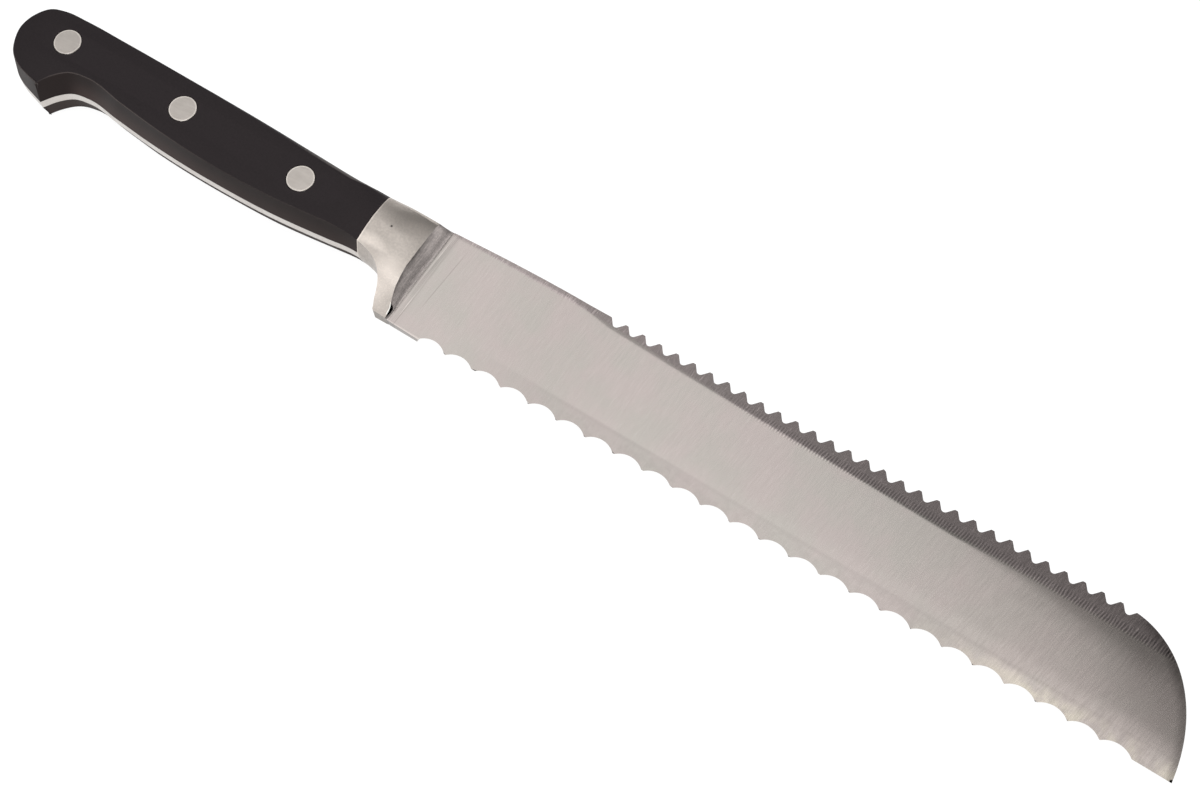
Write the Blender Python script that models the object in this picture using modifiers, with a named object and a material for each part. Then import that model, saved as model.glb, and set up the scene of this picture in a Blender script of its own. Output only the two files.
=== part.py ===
"""A forged frozen food knife: a saw-backed, scalloped blade with a full bolster and a full tang, two
riveted handle scales, and three two-part compression rivets.

The knife is drawn with X along the blade towards the tip, Y up from the cutting edge to the saw and Z through
its thickness. X starts at the foot of the bolster and Y at the line of the edge's points. At the end an empty
carries everything to the frame in which the knife lies on its lower cheek, centred on the origin.
"""

import math

import bmesh
import bpy
from mathutils import Vector
from mathutils.geometry import interpolate_bezier

# Lengths along the knife
BLADE_LENGTH = 0.2282
BOLSTER_LENGTH = 0.0177
GRIP_LENGTH = 0.1164

# Handle thicknesses
HANDLE_THICKNESS = 0.0155
TANG_THICKNESS = 0.0028
CREST_THICKNESS = 0.0084

# Heights of the handle's outline above the edge line, at the tang
GRIP_TOP = 0.0283
NECK_TOP = 0.02765
JOINT_TOP = 0.0279
CREST_TOP = 0.0294
BUTT_HEIGHT = 0.0173
HOOK_HEIGHT = 0.00365
HOLLOW_HEIGHT = 0.01125
WAIST_HEIGHT = 0.0087
JOINT_BELLY = 0.0119

# Places of the handle's features along X
HOOK_FROM_BUTT = 0.0162
HOLLOW_FROM_HOOK = 0.0107
CREST_BEHIND_FOOT = 0.0034
FINGER_FRONT = 0.0062

# Blade section
SPINE_THICKNESS = 0.0026
TIP_THICKNESS = 0.0020
BEVEL_TOP_THICKNESS = 0.0019
EDGE_THICKNESS = 0.0012
BEVEL_HEIGHT = 0.0055
GRIND_RUNOUT = 0.018
SAW_TIP_THICKNESS = 0.0014
TOP_CHAMFER = 0.00015

# Blade outline
SPINE_AT_FOOT = 0.0300
SPINE_AT_SAW = 0.0313
SPINE_RISE_LENGTH = 0.0360
HEEL_HEIGHT = 0.0003
EDGE_STOCK = 0.0004
TIP_ROUND_LENGTH = 0.0303
TIP_ROUND_HEIGHT = 0.0400
TIP_ROUND_TOP = 0.03262

# Saw: notches cut by a ganged cutter, a gang at a time, each gang a little tilted to the last
SAW_START = 0.05104
SAW_PITCH = 0.005086
SAW_DEPTH = 0.00205
SAW_FLANK = math.radians(51)
SAW_VALLEY_RADIUS = 0.0010
SAW_END_FROM_TIP = 0.0275
GANG_TEETH = 8
FIRST_GANG_FLOOR = 0.02938
FIRST_GANG_CLIMB = 0.00005
GANG_FLOOR = 0.02947
GANG_RISE = 0.00045
GANG_CLIMB = 0.0001025

# Scallops, ground into the far face
SCALLOP_START = 0.01010
FIRST_SCALLOP = 0.00838
SCALLOP_PITCH = 0.008655
SCALLOP_DEPTH = 0.0019
LAST_SCALLOP_DEPTH = 0.0016
SCALLOP_END_FROM_TIP = 0.0110
FACET_ANGLE = math.radians(25)

# Rivets: a solid half from above, pressed into a hollow half from below
RIVET_HEAD_RADIUS = 0.0038
RIVET_HEAD_THICKNESS = 0.0016
RIVET_CHAMFER = 0.00012
SLEEVE_RADIUS = 0.0026
POST_RADIUS = 0.0017
REAR_RIVET_FROM_BUTT = 0.0145
FRONT_RIVET_FROM_JOINT = 0.0228
RIVET_HEIGHTS = {"rear": 0.0201, "middle": 0.0200, "front": 0.0195}

# Clearances
BED_GAP = 0.0001
HEAD_CLEARANCE = 0.00015
RIVET_CLEARANCE = 0.0003
POST_END_GAP = 0.0004

# Worked out from the sizes above
JOINT = -BOLSTER_LENGTH
BUTT = JOINT - GRIP_LENGTH
CHEEK = HANDLE_THICKNESS / 2
TANG = TANG_THICKNESS / 2
HOOK = BUTT + HOOK_FROM_BUTT

# Bolster: how far its slope runs on under the blade's face, and how deep
FOOT_RUNOUT = 0.0008
FOOT_SINK = 0.00008
# What one body of the forging stands past another where the two are joined
SEAM = 0.00005
OVERCUT = 0.001


def grip_x(share):
    """A place along the grip, from 0 at the butt to 1 at the bolster."""
    return BUTT + share * GRIP_LENGTH


# Handle outline, in the tang's plane: X, height, how far the side leans in on its way from the tang to the
# upper cheek and to the lower cheek, and the radius of the cheek's edge. The first stretch runs back along
# the top and round the butt to the hook, and the second runs forward along the belly and down the finger
# curve to the heel.
BACK_STRETCH = (
    (FOOT_RUNOUT, SPINE_AT_FOOT - SEAM, 0, 0, 0.0008),
    (-CREST_BEHIND_FOOT, CREST_TOP, 0, 0, 0.0008),
    (JOINT + 0.34 * BOLSTER_LENGTH, (JOINT_TOP + CREST_TOP) / 2, 0, 0, 0.0010),
    (JOINT, JOINT_TOP, 0, 0, 0.0010),
    (grip_x(0.92), NECK_TOP, 0, 0, 0.0010),
    (grip_x(0.79), (NECK_TOP + GRIP_TOP) / 2, 0, 0, 0.0009),
    (grip_x(0.64), GRIP_TOP, 0, 0, 0.0007),
    (grip_x(0.50), GRIP_TOP, 0, 0, 0.0006),
    (grip_x(0.24), GRIP_TOP, 0, 0, 0.0005),
    (grip_x(0.13), GRIP_TOP - 0.00015, 0, 0, 0.0005),
    (grip_x(0.07), GRIP_TOP - 0.0007, 0, 0, 0.0005),
    (BUTT + 0.0038, GRIP_TOP - 0.0022, 0.0001, 0.0001, 0.0005),
    (BUTT + 0.0012, GRIP_TOP - 0.0055, 0.0002, 0.0002, 0.0005),
    (BUTT, BUTT_HEIGHT, 0.0002, 0.0002, 0.0005),
    (BUTT + 0.0009, BUTT_HEIGHT - 0.0037, 0.0003, 0.0003, 0.0005),
    (BUTT + 0.0030, BUTT_HEIGHT - 0.0076, 0.0006, 0.0006, 0.0004),
    (HOOK - 0.0104, HOOK_HEIGHT + 0.0036, 0.0009, 0.0009, 0.0003),
    (HOOK - 0.0070, HOOK_HEIGHT + 0.0020, 0.0012, 0.0011, 0.0002),
    (HOOK - 0.0036, HOOK_HEIGHT + 0.0010, 0.0014, 0.0012, 0.0002),
    (HOOK, HOOK_HEIGHT, 0.0018, 0.0014, 0.0002),
)
BELLY_STRETCH = (
    (HOOK, HOOK_HEIGHT, 0.0018, 0.0014, 0.0002),
    (HOOK + 0.0027, HOLLOW_HEIGHT - 0.00375, 0.0025, 0.0014, 0.0002),
    (HOOK + 0.0057, HOLLOW_HEIGHT - 0.00115, 0.0029, 0.0015, 0.0002),
    (HOOK + HOLLOW_FROM_HOOK, HOLLOW_HEIGHT, 0.0028, 0.0018, 0.0002),
    (grip_x(0.32), HOLLOW_HEIGHT - 0.0009, 0.0024, 0.0017, 0.0002),
    (grip_x(0.42), WAIST_HEIGHT + 0.00063, 0.0022, 0.0016, 0.0002),
    (grip_x(0.53), WAIST_HEIGHT + 0.00005, 0.0019, 0.0017, 0.0002),
    (grip_x(0.64), WAIST_HEIGHT, 0.0017, 0.0018, 0.0002),
    (grip_x(0.77), WAIST_HEIGHT + 0.00055, 0.0018, 0.0018, 0.0002),
    (grip_x(0.92), JOINT_BELLY - 0.0009, 0.0018, 0.0020, 0.0002),
    (JOINT - 0.0017, JOINT_BELLY, 0.0015, 0.0018, 0.0002),
    (JOINT + 0.0018, JOINT_BELLY - 0.0001, 0.0014, 0.0015, 0.0002),
    (JOINT + 0.0048, JOINT_BELLY - 0.0005, 0.0010, 0.0010, 0.0002),
    (JOINT + 0.0080, JOINT_BELLY - 0.0019, 0.0003, 0.0003, 0.0002),
    (-FINGER_FRONT - 0.0014, JOINT_BELLY - 0.0041, 0, 0, 0.0002),
    (-FINGER_FRONT, JOINT_BELLY - 0.0070, 0, 0, 0.0002),
    (-FINGER_FRONT + 0.0007, HEEL_HEIGHT + 0.0026, 0, 0, 0.0002),
    (-FINGER_FRONT + 0.00145, HEEL_HEIGHT + 0.0010, 0, 0, 0.0002),
    (-FINGER_FRONT + 0.0017, HEEL_HEIGHT + 0.0003, 0, 0, 0.0002),
    (-FINGER_FRONT + 0.0021, HEEL_HEIGHT, 0, 0, 0.0002),
    (-FINGER_FRONT + 0.0026, HEEL_HEIGHT, 0, 0, 0.0002),
    (FOOT_RUNOUT, HEEL_HEIGHT - 0.00005, 0, 0, 0.0002),
)
LONGEST_STEP = 0.0018
MOST_STEPS = 5

# Bolster sections from the heel up: height, share of the cheek's half thickness at the joint, share of the
# crest's half thickness, and share of the crest's distance behind the foot
BOLSTER_ROWS = (
    (-0.004, 0.22, 0.33, 0.05),
    (0.000, 0.32, 0.41, 0.07),
    (0.003, 0.46, 0.53, 0.16),
    (0.005, 0.58, 0.64, 0.42),
    (0.008, 0.73, 0.82, 0.70),
    (0.0103, 0.78, 0.95, 0.83),
    (0.0123, 0.81, 0.99, 0.92),
    (0.0145, 0.88, 1.00, 1.00),
    (0.0170, 0.95, 1.00, 1.00),
    (0.0195, 0.99, 1.00, 1.00),
)
# Rounded shoulder along the top of the bolster: how far down it starts, and how far it falls, at the joint
# and at the crest
JOINT_SHOULDER = (0.0075, 0.0017)
CREST_SHOULDER = (0.0050, 0.0005)
SHOULDER_STEPS = 5
# The cheek is flat behind a line that slants forward down to the belly, and crowned ahead of it
CROWN_START = 0.009
CROWN_SLANT = 0.5
CROWN_LOW = 0.013
CROWN_POWER = 1.6
CREST_STEEPNESS = 1.6
FOOT_HOLLOW = 1.6

# Ground band under the saw: how far behind its first point the spine starts to be thinned, and the points
# of its lower border, as X and height
BAND_RUNIN = 0.026
SAW_BAND = (
    (0.040, 0.0298),
    (0.050, 0.0283),
    (0.072, 0.0276),
    (0.112, 0.0269),
    (0.153, 0.0260),
    (0.180, 0.0268),
)
NOTCH_STEPS = 6
SCALLOP_STEPS = 8
TIP_STEPS = 28
ROUND_STEPS = 40
SHARP_ANGLE = math.radians(28)


def material(name, color, metallic, roughness):
    made = bpy.data.materials.new(name)
    made.use_nodes = True
    shader = made.node_tree.nodes["Principled BSDF"]
    shader.inputs["Base Color"].default_value = (*color, 1)
    shader.inputs["Metallic"].default_value = metallic
    shader.inputs["Roughness"].default_value = roughness
    return made


def new_collection(name):
    made = bpy.data.collections.new(name)
    bpy.context.scene.collection.children.link(made)
    return made


def add(name, mesh, collection):
    """A new object for the mesh. Those among the cutters are left out of a render."""
    made = bpy.data.objects.new(name, mesh)
    collection.objects.link(made)
    if collection is cutters:
        made.hide_render = True
        made.display_type = "WIRE"
    return made


def shade(obj):
    obj.data.shade_smooth()
    obj.data.set_sharp_from_angle(angle=SHARP_ANGLE)


def boolean(obj, operation, other):
    change = obj.modifiers.new(f"{operation.lower()} {other.name}", "BOOLEAN")
    change.operation = operation
    change.solver = "MANIFOLD"
    change.object = other


def smooth_line(points):
    """A smooth curve through the points, whose first two values are X and Y. The others are carried along."""
    places = [Vector(point[:2]) for point in points]
    legs = [end - start for start, end in zip(places, places[1:])]
    tangents = [legs[0].normalized()]
    for back, ahead in zip(legs, legs[1:]):
        turn = back.normalized() * ahead.length + ahead.normalized() * back.length
        tangents.append(turn.normalized())
    tangents.append(legs[-1].normalized())
    line = []
    for i, leg in enumerate(legs):
        steps = max(1, min(MOST_STEPS, round(leg.length / LONGEST_STEP)))
        reach = leg.length / 3
        curve = interpolate_bezier(
            places[i],
            places[i] + tangents[i] * reach,
            places[i + 1] - tangents[i + 1] * reach,
            places[i + 1],
            steps + 1,
        )
        for step, place in enumerate(curve[:-1]):
            share = step / steps
            extras = [a + (b - a) * share for a, b in zip(points[i][2:], points[i + 1][2:])]
            line.append((place.x, place.y, *extras))
    return line + [tuple(points[-1])]


def inward(outline):
    """For each point of a counter-clockwise outline, the step that sets both sides beside it in by 1."""
    steps = []
    count = len(outline)
    for i in range(count):
        before, here, after = (Vector(outline[j % count][:2]) for j in (i - 1, i, i + 1))
        first = (here - before).normalized().orthogonal()
        second = (after - here).normalized().orthogonal()
        steps.append((first + second) / (1 + first.dot(second)))
    return steps


def loft(name, rings, collection):
    """A closed skin over rings that all have the same number of points. It is in triangles, being warped."""
    body = bmesh.new()
    loops = [[body.verts.new(point) for point in ring] for ring in rings]
    count = len(rings[0])
    for lower, upper in zip(loops, loops[1:]):
        for i in range(count):
            j = (i + 1) % count
            body.faces.new((lower[i], lower[j], upper[j], upper[i]))
    body.faces.new(loops[0][::-1])
    body.faces.new(loops[-1])
    bmesh.ops.triangulate(body, faces=body.faces)
    bmesh.ops.recalc_face_normals(body, faces=body.faces)
    mesh = bpy.data.meshes.new(name)
    body.to_mesh(mesh)
    body.free()
    return add(name, mesh, collection)


def plate(name, outline, half_thickness, collection):
    """A flat outline given a thickness."""
    curve = bpy.data.curves.new(name, "CURVE")
    curve.dimensions = "2D"
    curve.fill_mode = "BOTH"
    curve.extrude = half_thickness
    spline = curve.splines.new("POLY")
    spline.points.add(len(outline) - 1)
    for point, (x, y) in zip(spline.points, outline):
        point.co = (x, y, 0, 1)
    spline.use_cyclic_u = True
    drawn = bpy.data.objects.new(name, curve)
    bpy.context.scene.collection.objects.link(drawn)
    graph = bpy.context.evaluated_depsgraph_get()
    mesh = bpy.data.meshes.new_from_object(drawn.evaluated_get(graph))
    placed = drawn.matrix_world.copy()
    bpy.data.objects.remove(drawn)
    bpy.data.curves.remove(curve)
    body = bmesh.new()
    body.from_mesh(mesh)
    bmesh.ops.remove_doubles(body, verts=body.verts, dist=1e-6)
    bmesh.ops.recalc_face_normals(body, faces=body.faces)
    body.to_mesh(mesh)
    body.free()
    made = add(name, mesh, collection)
    made.matrix_world = placed
    return made


def turned(name, profile, collection):
    """A solid turned round Z. Its profile of radius and height runs down its outer side."""
    mesh = bpy.data.meshes.new(name)
    mesh.from_pydata(
        [(radius, 0, height) for radius, height in profile],
        [(i, i + 1) for i in range(len(profile) - 1)],
        [],
    )
    made = add(name, mesh, collection)
    turn = made.modifiers.new("turn", "SCREW")
    turn.steps = turn.render_steps = ROUND_STEPS
    turn.use_merge_vertices = True
    turn.merge_threshold = 1e-6
    turn.use_smooth_shade = True
    return made


def box(name, low, high, collection):
    """A box between two corners."""
    body = bmesh.new()
    bmesh.ops.create_cube(body, size=1)
    size = Vector(high) - Vector(low)
    bmesh.ops.scale(body, vec=size, verts=body.verts)
    bmesh.ops.translate(body, vec=Vector(low) + size / 2, verts=body.verts)
    mesh = bpy.data.meshes.new(name)
    body.to_mesh(mesh)
    body.free()
    return add(name, mesh, collection)


def mix(a, b, share):
    return a + (b - a) * share


def height_on(line, x):
    """The height at X of a line given by points in order of X, level past its ends."""
    if x <= line[0][0]:
        return line[0][1]
    for (x0, y0), (x1, y1) in zip(line, line[1:]):
        if x <= x1:
            return mix(y0, y1, (x - x0) / (x1 - x0))
    return line[-1][1]


def handle_outline():
    """The handle's outline, counter-clockwise seen from above."""
    return smooth_line(BACK_STRETCH)[:-1] + smooth_line(BELLY_STRETCH)


def handle_sides(outline):
    """The handle's side walls: upright at the tang, leaning in to the cheeks, with rounded cheek edges."""
    steps = inward(outline)

    def ring(side, level):
        points = []
        for (x, y, upper_lean, lower_lean, radius), step in zip(outline, steps):
            rise, inset = level(upper_lean if side > 0 else lower_lean, radius)
            points.append((x + step.x * inset, y + step.y * inset, side * rise))
        return points

    def tang(lean, radius):
        return TANG, 0

    def wall(lean, radius):
        return CHEEK - radius, lean * (CHEEK - radius - TANG) / (CHEEK - TANG)

    def edge(angle):
        def level(lean, radius):
            turn = radius * (1 - math.cos(angle))
            return CHEEK - radius * (1 - math.sin(angle)), lean + turn

        return level

    def past(lean, radius):
        low, near = edge(math.radians(60))(lean, radius)
        return 2 * CHEEK - low, 2 * (lean + radius) - near

    def above(lean, radius):
        return CHEEK + OVERCUT, past(lean, radius)[1]

    levels = (above, past, edge(math.radians(60)), edge(math.radians(30)), wall, tang)
    rings = [ring(-1, level) for level in levels] + [ring(1, level) for level in levels[::-1]]
    return loft("handle_sides", rings, cutters)


def blade_section(x):
    """Heights and half thicknesses up the blade at X: edge, top of the bevel, foot of the saw band, top."""
    ground = min(1, max(0, x / GRIND_RUNOUT))
    stock = mix(SPINE_THICKNESS, TIP_THICKNESS, max(0, x) / BLADE_LENGTH) / 2
    edge = mix(stock, EDGE_THICKNESS / 2, ground)
    bevel = mix(stock, BEVEL_TOP_THICKNESS / 2, ground)
    runin = SAW_BAND[0][0] - BAND_RUNIN
    band = height_on(((0, SPINE_AT_FOOT), (runin, SPINE_AT_SAW), *SAW_BAND), x)
    full = TIP_ROUND_TOP - band
    chamfered = min(1, max(0, (x - runin) / BAND_RUNIN))
    sawn = min(1, max(0, (x - SAW_BAND[0][0]) / (SAW_BAND[1][0] - SAW_BAND[0][0])))
    foot = mix(bevel, stock, (band - BEVEL_HEIGHT) / (SPINE_AT_SAW - BEVEL_HEIGHT))
    top = mix(stock - chamfered * TOP_CHAMFER, SAW_TIP_THICKNESS / 2, sawn)
    return (
        (-BEVEL_HEIGHT / 2, edge - (bevel - edge) / 2),
        (BEVEL_HEIGHT, bevel),
        (band, foot),
        (band + 2 * full, foot + 2 * (top - foot)),
    )


def section_ring(x, section):
    """A ring round a section, up its near side and down its far side."""
    near = [(x, y, half) for y, half in section]
    far = [(x, y, -half) for y, half in reversed(section)]
    return near + far


def tooth_floor(index):
    """The height of a notch's floor, and the climb from a notch to the next."""
    gang, place = divmod(index, GANG_TEETH)
    if gang == 0:
        return FIRST_GANG_FLOOR + FIRST_GANG_CLIMB * place, FIRST_GANG_CLIMB
    return GANG_FLOOR + GANG_RISE * (gang - 1) + GANG_CLIMB * place, GANG_CLIMB


def tip_center():
    share = (TIP_ROUND_TOP - TIP_ROUND_HEIGHT) / TIP_ROUND_HEIGHT
    return BLADE_LENGTH - TIP_ROUND_LENGTH * math.sqrt(1 - share**2), TIP_ROUND_TOP - TIP_ROUND_HEIGHT


def saw_line():
    """The sawn top of the blade: round-bottomed notches, with a small flat left between two of them."""
    arc_rise = SAW_VALLEY_RADIUS * (1 - math.cos(SAW_FLANK))
    arc_reach = SAW_VALLEY_RADIUS * math.sin(SAW_FLANK)
    reach = arc_reach + (SAW_DEPTH - arc_rise) / math.tan(SAW_FLANK)
    last = BLADE_LENGTH - SAW_END_FROM_TIP - reach
    count = 1 + max(0, math.floor((last - SAW_START) / SAW_PITCH + 0.01))
    line = []
    for index in range(count):
        x = SAW_START + SAW_PITCH * index
        floor, climb = tooth_floor(index)
        tilt = climb / SAW_PITCH
        line.append((x - reach, floor + SAW_DEPTH - tilt * reach))
        for step in range(NOTCH_STEPS + 1):
            angle = SAW_FLANK * (2 * step / NOTCH_STEPS - 1)
            across = SAW_VALLEY_RADIUS * math.sin(angle)
            rise = SAW_VALLEY_RADIUS * (1 - math.cos(angle))
            line.append((x + across, floor + rise + tilt * across))
        line.append((x + reach, floor + SAW_DEPTH + tilt * reach))
    return line


def tip_line(start):
    """The rounded tip, from X to just below the edge line."""
    center_x, center_y = tip_center()
    first = math.acos(min(1, max(0, (start - center_x) / TIP_ROUND_LENGTH)))
    last = math.asin(min(1, (-center_y - EDGE_STOCK) / TIP_ROUND_HEIGHT))
    line = []
    for step in range(TIP_STEPS + 1):
        angle = mix(first, last, step / TIP_STEPS)
        x = center_x + TIP_ROUND_LENGTH * math.cos(angle)
        line.append((x, center_y + TIP_ROUND_HEIGHT * math.sin(angle)))
    return line


def blade_outline():
    """The blade's outline before its edge is ground, clockwise from inside the bolster's top."""
    saw = saw_line()
    corner_x, corner_y = saw[-1]
    center_x, center_y = tip_center()
    across = min(1, max(0, (corner_x - center_x) / TIP_ROUND_LENGTH))
    fall = max(0, corner_y - center_y - TIP_ROUND_HEIGHT * math.sqrt(1 - across**2))
    tip = tip_line(corner_x - fall / math.tan(SAW_FLANK))
    spine = smooth_line(
        (
            (FOOT_RUNOUT, SPINE_AT_FOOT + SEAM),
            (SPINE_RISE_LENGTH / 2, mix(SPINE_AT_FOOT, SPINE_AT_SAW, 0.68)),
            (SPINE_RISE_LENGTH, SPINE_AT_SAW),
            ((SPINE_RISE_LENGTH + saw[0][0]) / 2, SPINE_AT_SAW),
        )
    )
    inside = -CREST_BEHIND_FOOT + 0.0008
    heel = (
        (SCALLOP_START + 2 * SCALLOP_PITCH, -EDGE_STOCK),
        (SCALLOP_START, 0),
        (FOOT_RUNOUT, HEEL_HEIGHT - 2 * SEAM),
        (inside, HEEL_HEIGHT + 0.002),
        (inside, SPINE_AT_FOOT - 0.003),
    )
    return spine + saw[:-1] + tip + list(heel)


def scallop_line():
    """The ground edge: a row of round arches, then a straight run to the tip."""
    line = [(SCALLOP_START, 0)]
    end = BLADE_LENGTH - SCALLOP_END_FROM_TIP
    x, width = SCALLOP_START, FIRST_SCALLOP
    while x + width <= end + 0.0005:
        depth = mix(SCALLOP_DEPTH, LAST_SCALLOP_DEPTH, (x - SCALLOP_START) / (end - SCALLOP_START))
        radius = (width**2 / 4 + depth**2) / (2 * depth)
        half_angle = math.asin(width / 2 / radius)
        for step in range(1, SCALLOP_STEPS + 1):
            angle = half_angle * (2 * step / SCALLOP_STEPS - 1)
            across = x + width / 2 + radius * math.sin(angle)
            line.append((across, depth - radius * (1 - math.cos(angle))))
        x, width = x + width, SCALLOP_PITCH
    line.append((BLADE_LENGTH + OVERCUT, 0))
    return line


def edge_grinder():
    """What the wheel takes off the far face: the row of arches, slanting up from the near face."""
    reach = SPINE_THICKNESS

    def level(z):
        points = []
        for x, y in scallop_line():
            section = blade_section(x)
            (low, thin), (top, thick) = section[:2]
            face = mix(thin, thick, (y - low) / (top - low))
            points.append((x, y + (face - z) / math.tan(FACET_ANGLE), z))
        points.append((BLADE_LENGTH + OVERCUT, -0.02, z))
        points.append((SCALLOP_START + 0.5 * (z - reach), -0.02, z))
        return points

    return loft("edge_grinder", [level(-reach), level(reach)], cutters)


def blade_blank():
    """The blade, ground thin and scalloped, with a root that ends inside the bolster."""
    blank = plate("blade_blank", blade_outline(), SPINE_THICKNESS, cutters)
    stations = [-CREST_BEHIND_FOOT - 0.002, 0, GRIND_RUNOUT]
    stations += sorted(x for x, _ in SAW_BAND if x > GRIND_RUNOUT) + [BLADE_LENGTH + OVERCUT]
    rings = [section_ring(x, blade_section(x)) for x in stations]
    boolean(blank, "INTERSECT", loft("blade_faces", rings, cutters))
    boolean(blank, "DIFFERENCE", edge_grinder())
    return blank


def half_at_foot(height):
    """The blade's half thickness at the foot of the bolster."""
    section = blade_section(0)
    return height_on(section, height)


def cheek_rail(along, top):
    """One line of the cheek surface from below the heel to above the top.

    From 0 to 1 it lies on the grip, between the start of the crown and the joint, from 1 to 2 on the bolster
    up to the crest, and from 2 to 3 on the slope down to the foot. Below 0 it lies behind the butt.
    """
    shares = [step / (SHOULDER_STEPS - 1) for step in range(SHOULDER_STEPS)]
    crest_share = min(1, max(0, along - 1))
    shoulder = mix(JOINT_SHOULDER[0], CREST_SHOULDER[0], crest_share)
    rows = [(height, joint, crest, back, 0) for height, joint, crest, back in BOLSTER_ROWS]
    rows += [(top - shoulder * (1 - share), 1, 1, 1, 1 - math.sqrt(1 - share**2)) for share in shares]
    rows.append((top + 0.005, 1, 1, 1, 2.2))
    points = []
    for height, joint_share, crest_share, back_share, fall in rows:
        joint_half = joint_share * CHEEK - fall * JOINT_SHOULDER[1]
        crest_half = crest_share * CREST_THICKNESS / 2 - fall * CREST_SHOULDER[1]
        crest_x = -CREST_BEHIND_FOOT * back_share
        start = JOINT - CROWN_START - CROWN_SLANT * max(0, height - CROWN_LOW)
        drop = CHEEK - joint_half
        if along < 0:
            x, half = BUTT - 0.005, CHEEK
        elif along <= 1:
            x, half = mix(start, JOINT, along), CHEEK - drop * along**CROWN_POWER
        elif along <= 2:
            share = along - 1
            length = crest_x - JOINT
            fall_over = crest_half - joint_half
            slope_in = max(fall_over, -CROWN_POWER * drop / (JOINT - start) * length)
            slope_out = CREST_STEEPNESS * fall_over
            x = mix(JOINT, crest_x, share)
            half = (
                (2 * share**3 - 3 * share**2 + 1) * joint_half
                + (share**3 - 2 * share**2 + share) * slope_in
                + (3 * share**2 - 2 * share**3) * crest_half
                + (share**3 - share**2) * slope_out
            )
        else:
            share = along - 2
            foot_half = half_at_foot(height) - FOOT_SINK
            x = mix(crest_x, FOOT_RUNOUT, share)
            half = foot_half + (crest_half - foot_half) * (1 - share) ** FOOT_HOLLOW
        points.append((x, height, half))
    return points


def cheek_envelope():
    """The two cheeks as one solid, larger than the handle all round, that trims the handle's thickness."""
    places = [-1, 0, 0.35, 0.7, 1, 1.17, 1.33, 1.5, 1.67, 1.83, 2, 2.25, 2.5, 2.75, 3]
    top_line = sorted((x, y) for x, y, *_ in BACK_STRETCH[:9])
    rings = []
    for along in places:
        if along < 0:
            x = BUTT
        elif along <= 1:
            x = mix(JOINT - CROWN_START, JOINT, along)
        elif along <= 2:
            x = mix(JOINT, -CREST_BEHIND_FOOT, along - 1)
        else:
            x = mix(-CREST_BEHIND_FOOT, FOOT_RUNOUT, along - 2)
        near = cheek_rail(along, height_on(top_line, x))
        rings.append(near + [(x, y, -z) for x, y, z in reversed(near)])
    return loft("cheek_envelope", rings, cutters)


def scale_space(name, side, gap):
    """The room on one side of the tang, behind the bolster, less a gap at the tang and at the bolster."""
    corners = (
        (BUTT - 0.01, -0.01, side * (TANG + gap)),
        (JOINT - gap, GRIP_TOP + 0.01, side * (CHEEK + 0.005)),
    )
    low, high = (tuple(pick(pair) for pair in zip(*corners)) for pick in (min, max))
    return box(name, low, high, cutters)


def rivet_places():
    rear = BUTT + REAR_RIVET_FROM_BUTT
    front = JOINT - FRONT_RIVET_FROM_JOINT
    along = {"rear": rear, "middle": (rear + front) / 2, "front": front}
    return {name: (along[name], height, 0) for name, height in RIVET_HEIGHTS.items()}


def rivet_seat(name, place):
    """The hole for a rivet's sleeve, with a counterbore for the head at each cheek."""
    floor = CHEEK - RIVET_HEAD_THICKNESS - BED_GAP
    bore = SLEEVE_RADIUS + RIVET_CLEARANCE
    mouth = RIVET_HEAD_RADIUS + HEAD_CLEARANCE
    past = CHEEK + OVERCUT
    profile = (
        (0, past),
        (mouth, past),
        (mouth, floor),
        (bore, floor),
        (bore, -floor),
        (mouth, -floor),
        (mouth, -past),
        (0, -past),
    )
    seat = turned(name, profile, cutters)
    seat.location = place
    return seat


def rivet_post(name, place):
    """The solid half: a head in the upper scale, on a post that reaches down into the sleeve."""
    under_head = CHEEK - RIVET_HEAD_THICKNESS
    profile = (
        (0, CHEEK),
        (RIVET_HEAD_RADIUS - RIVET_CHAMFER, CHEEK),
        (RIVET_HEAD_RADIUS, CHEEK - RIVET_CHAMFER),
        (RIVET_HEAD_RADIUS, under_head),
        (POST_RADIUS, under_head),
        (POST_RADIUS, POST_END_GAP - under_head),
        (0, POST_END_GAP - under_head),
    )
    post = turned(name, profile, knife)
    post.location = place
    return post


def rivet_sleeve(name, place):
    """The hollow half: a head in the lower scale, with a sleeve that reaches up to the other head."""
    above_head = RIVET_HEAD_THICKNESS - CHEEK
    bore = POST_RADIUS + RIVET_CLEARANCE
    rim = -above_head - POST_END_GAP
    profile = (
        (0, above_head),
        (bore, above_head),
        (bore, rim),
        (SLEEVE_RADIUS, rim),
        (SLEEVE_RADIUS, above_head),
        (RIVET_HEAD_RADIUS, above_head),
        (RIVET_HEAD_RADIUS, RIVET_CHAMFER - CHEEK),
        (RIVET_HEAD_RADIUS - RIVET_CHAMFER, -CHEEK),
        (0, -CHEEK),
    )
    sleeve = turned(name, profile, knife)
    sleeve.location = place
    return sleeve


def forged_blade(sides, envelope, seats):
    """Blade, bolster and tang, which are one piece of steel."""
    forging = add("forged_blade", sides.data.copy(), knife)
    boolean(forging, "INTERSECT", envelope)
    for side, name in ((1, "upper_scale_space"), (-1, "lower_scale_space")):
        boolean(forging, "DIFFERENCE", scale_space(name, side, 0))
    boolean(forging, "UNION", blade_blank())
    for seat in seats:
        boolean(forging, "DIFFERENCE", seat)
    return forging


def scale(name, side, sides, envelope, seats):
    """One handle scale, bedded on the tang and against the bolster."""
    made = add(name, sides.data.copy(), knife)
    boolean(made, "INTERSECT", envelope)
    boolean(made, "INTERSECT", scale_space(f"{name}_block", side, BED_GAP))
    for seat in seats:
        boolean(made, "DIFFERENCE", seat)
    return made


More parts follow.
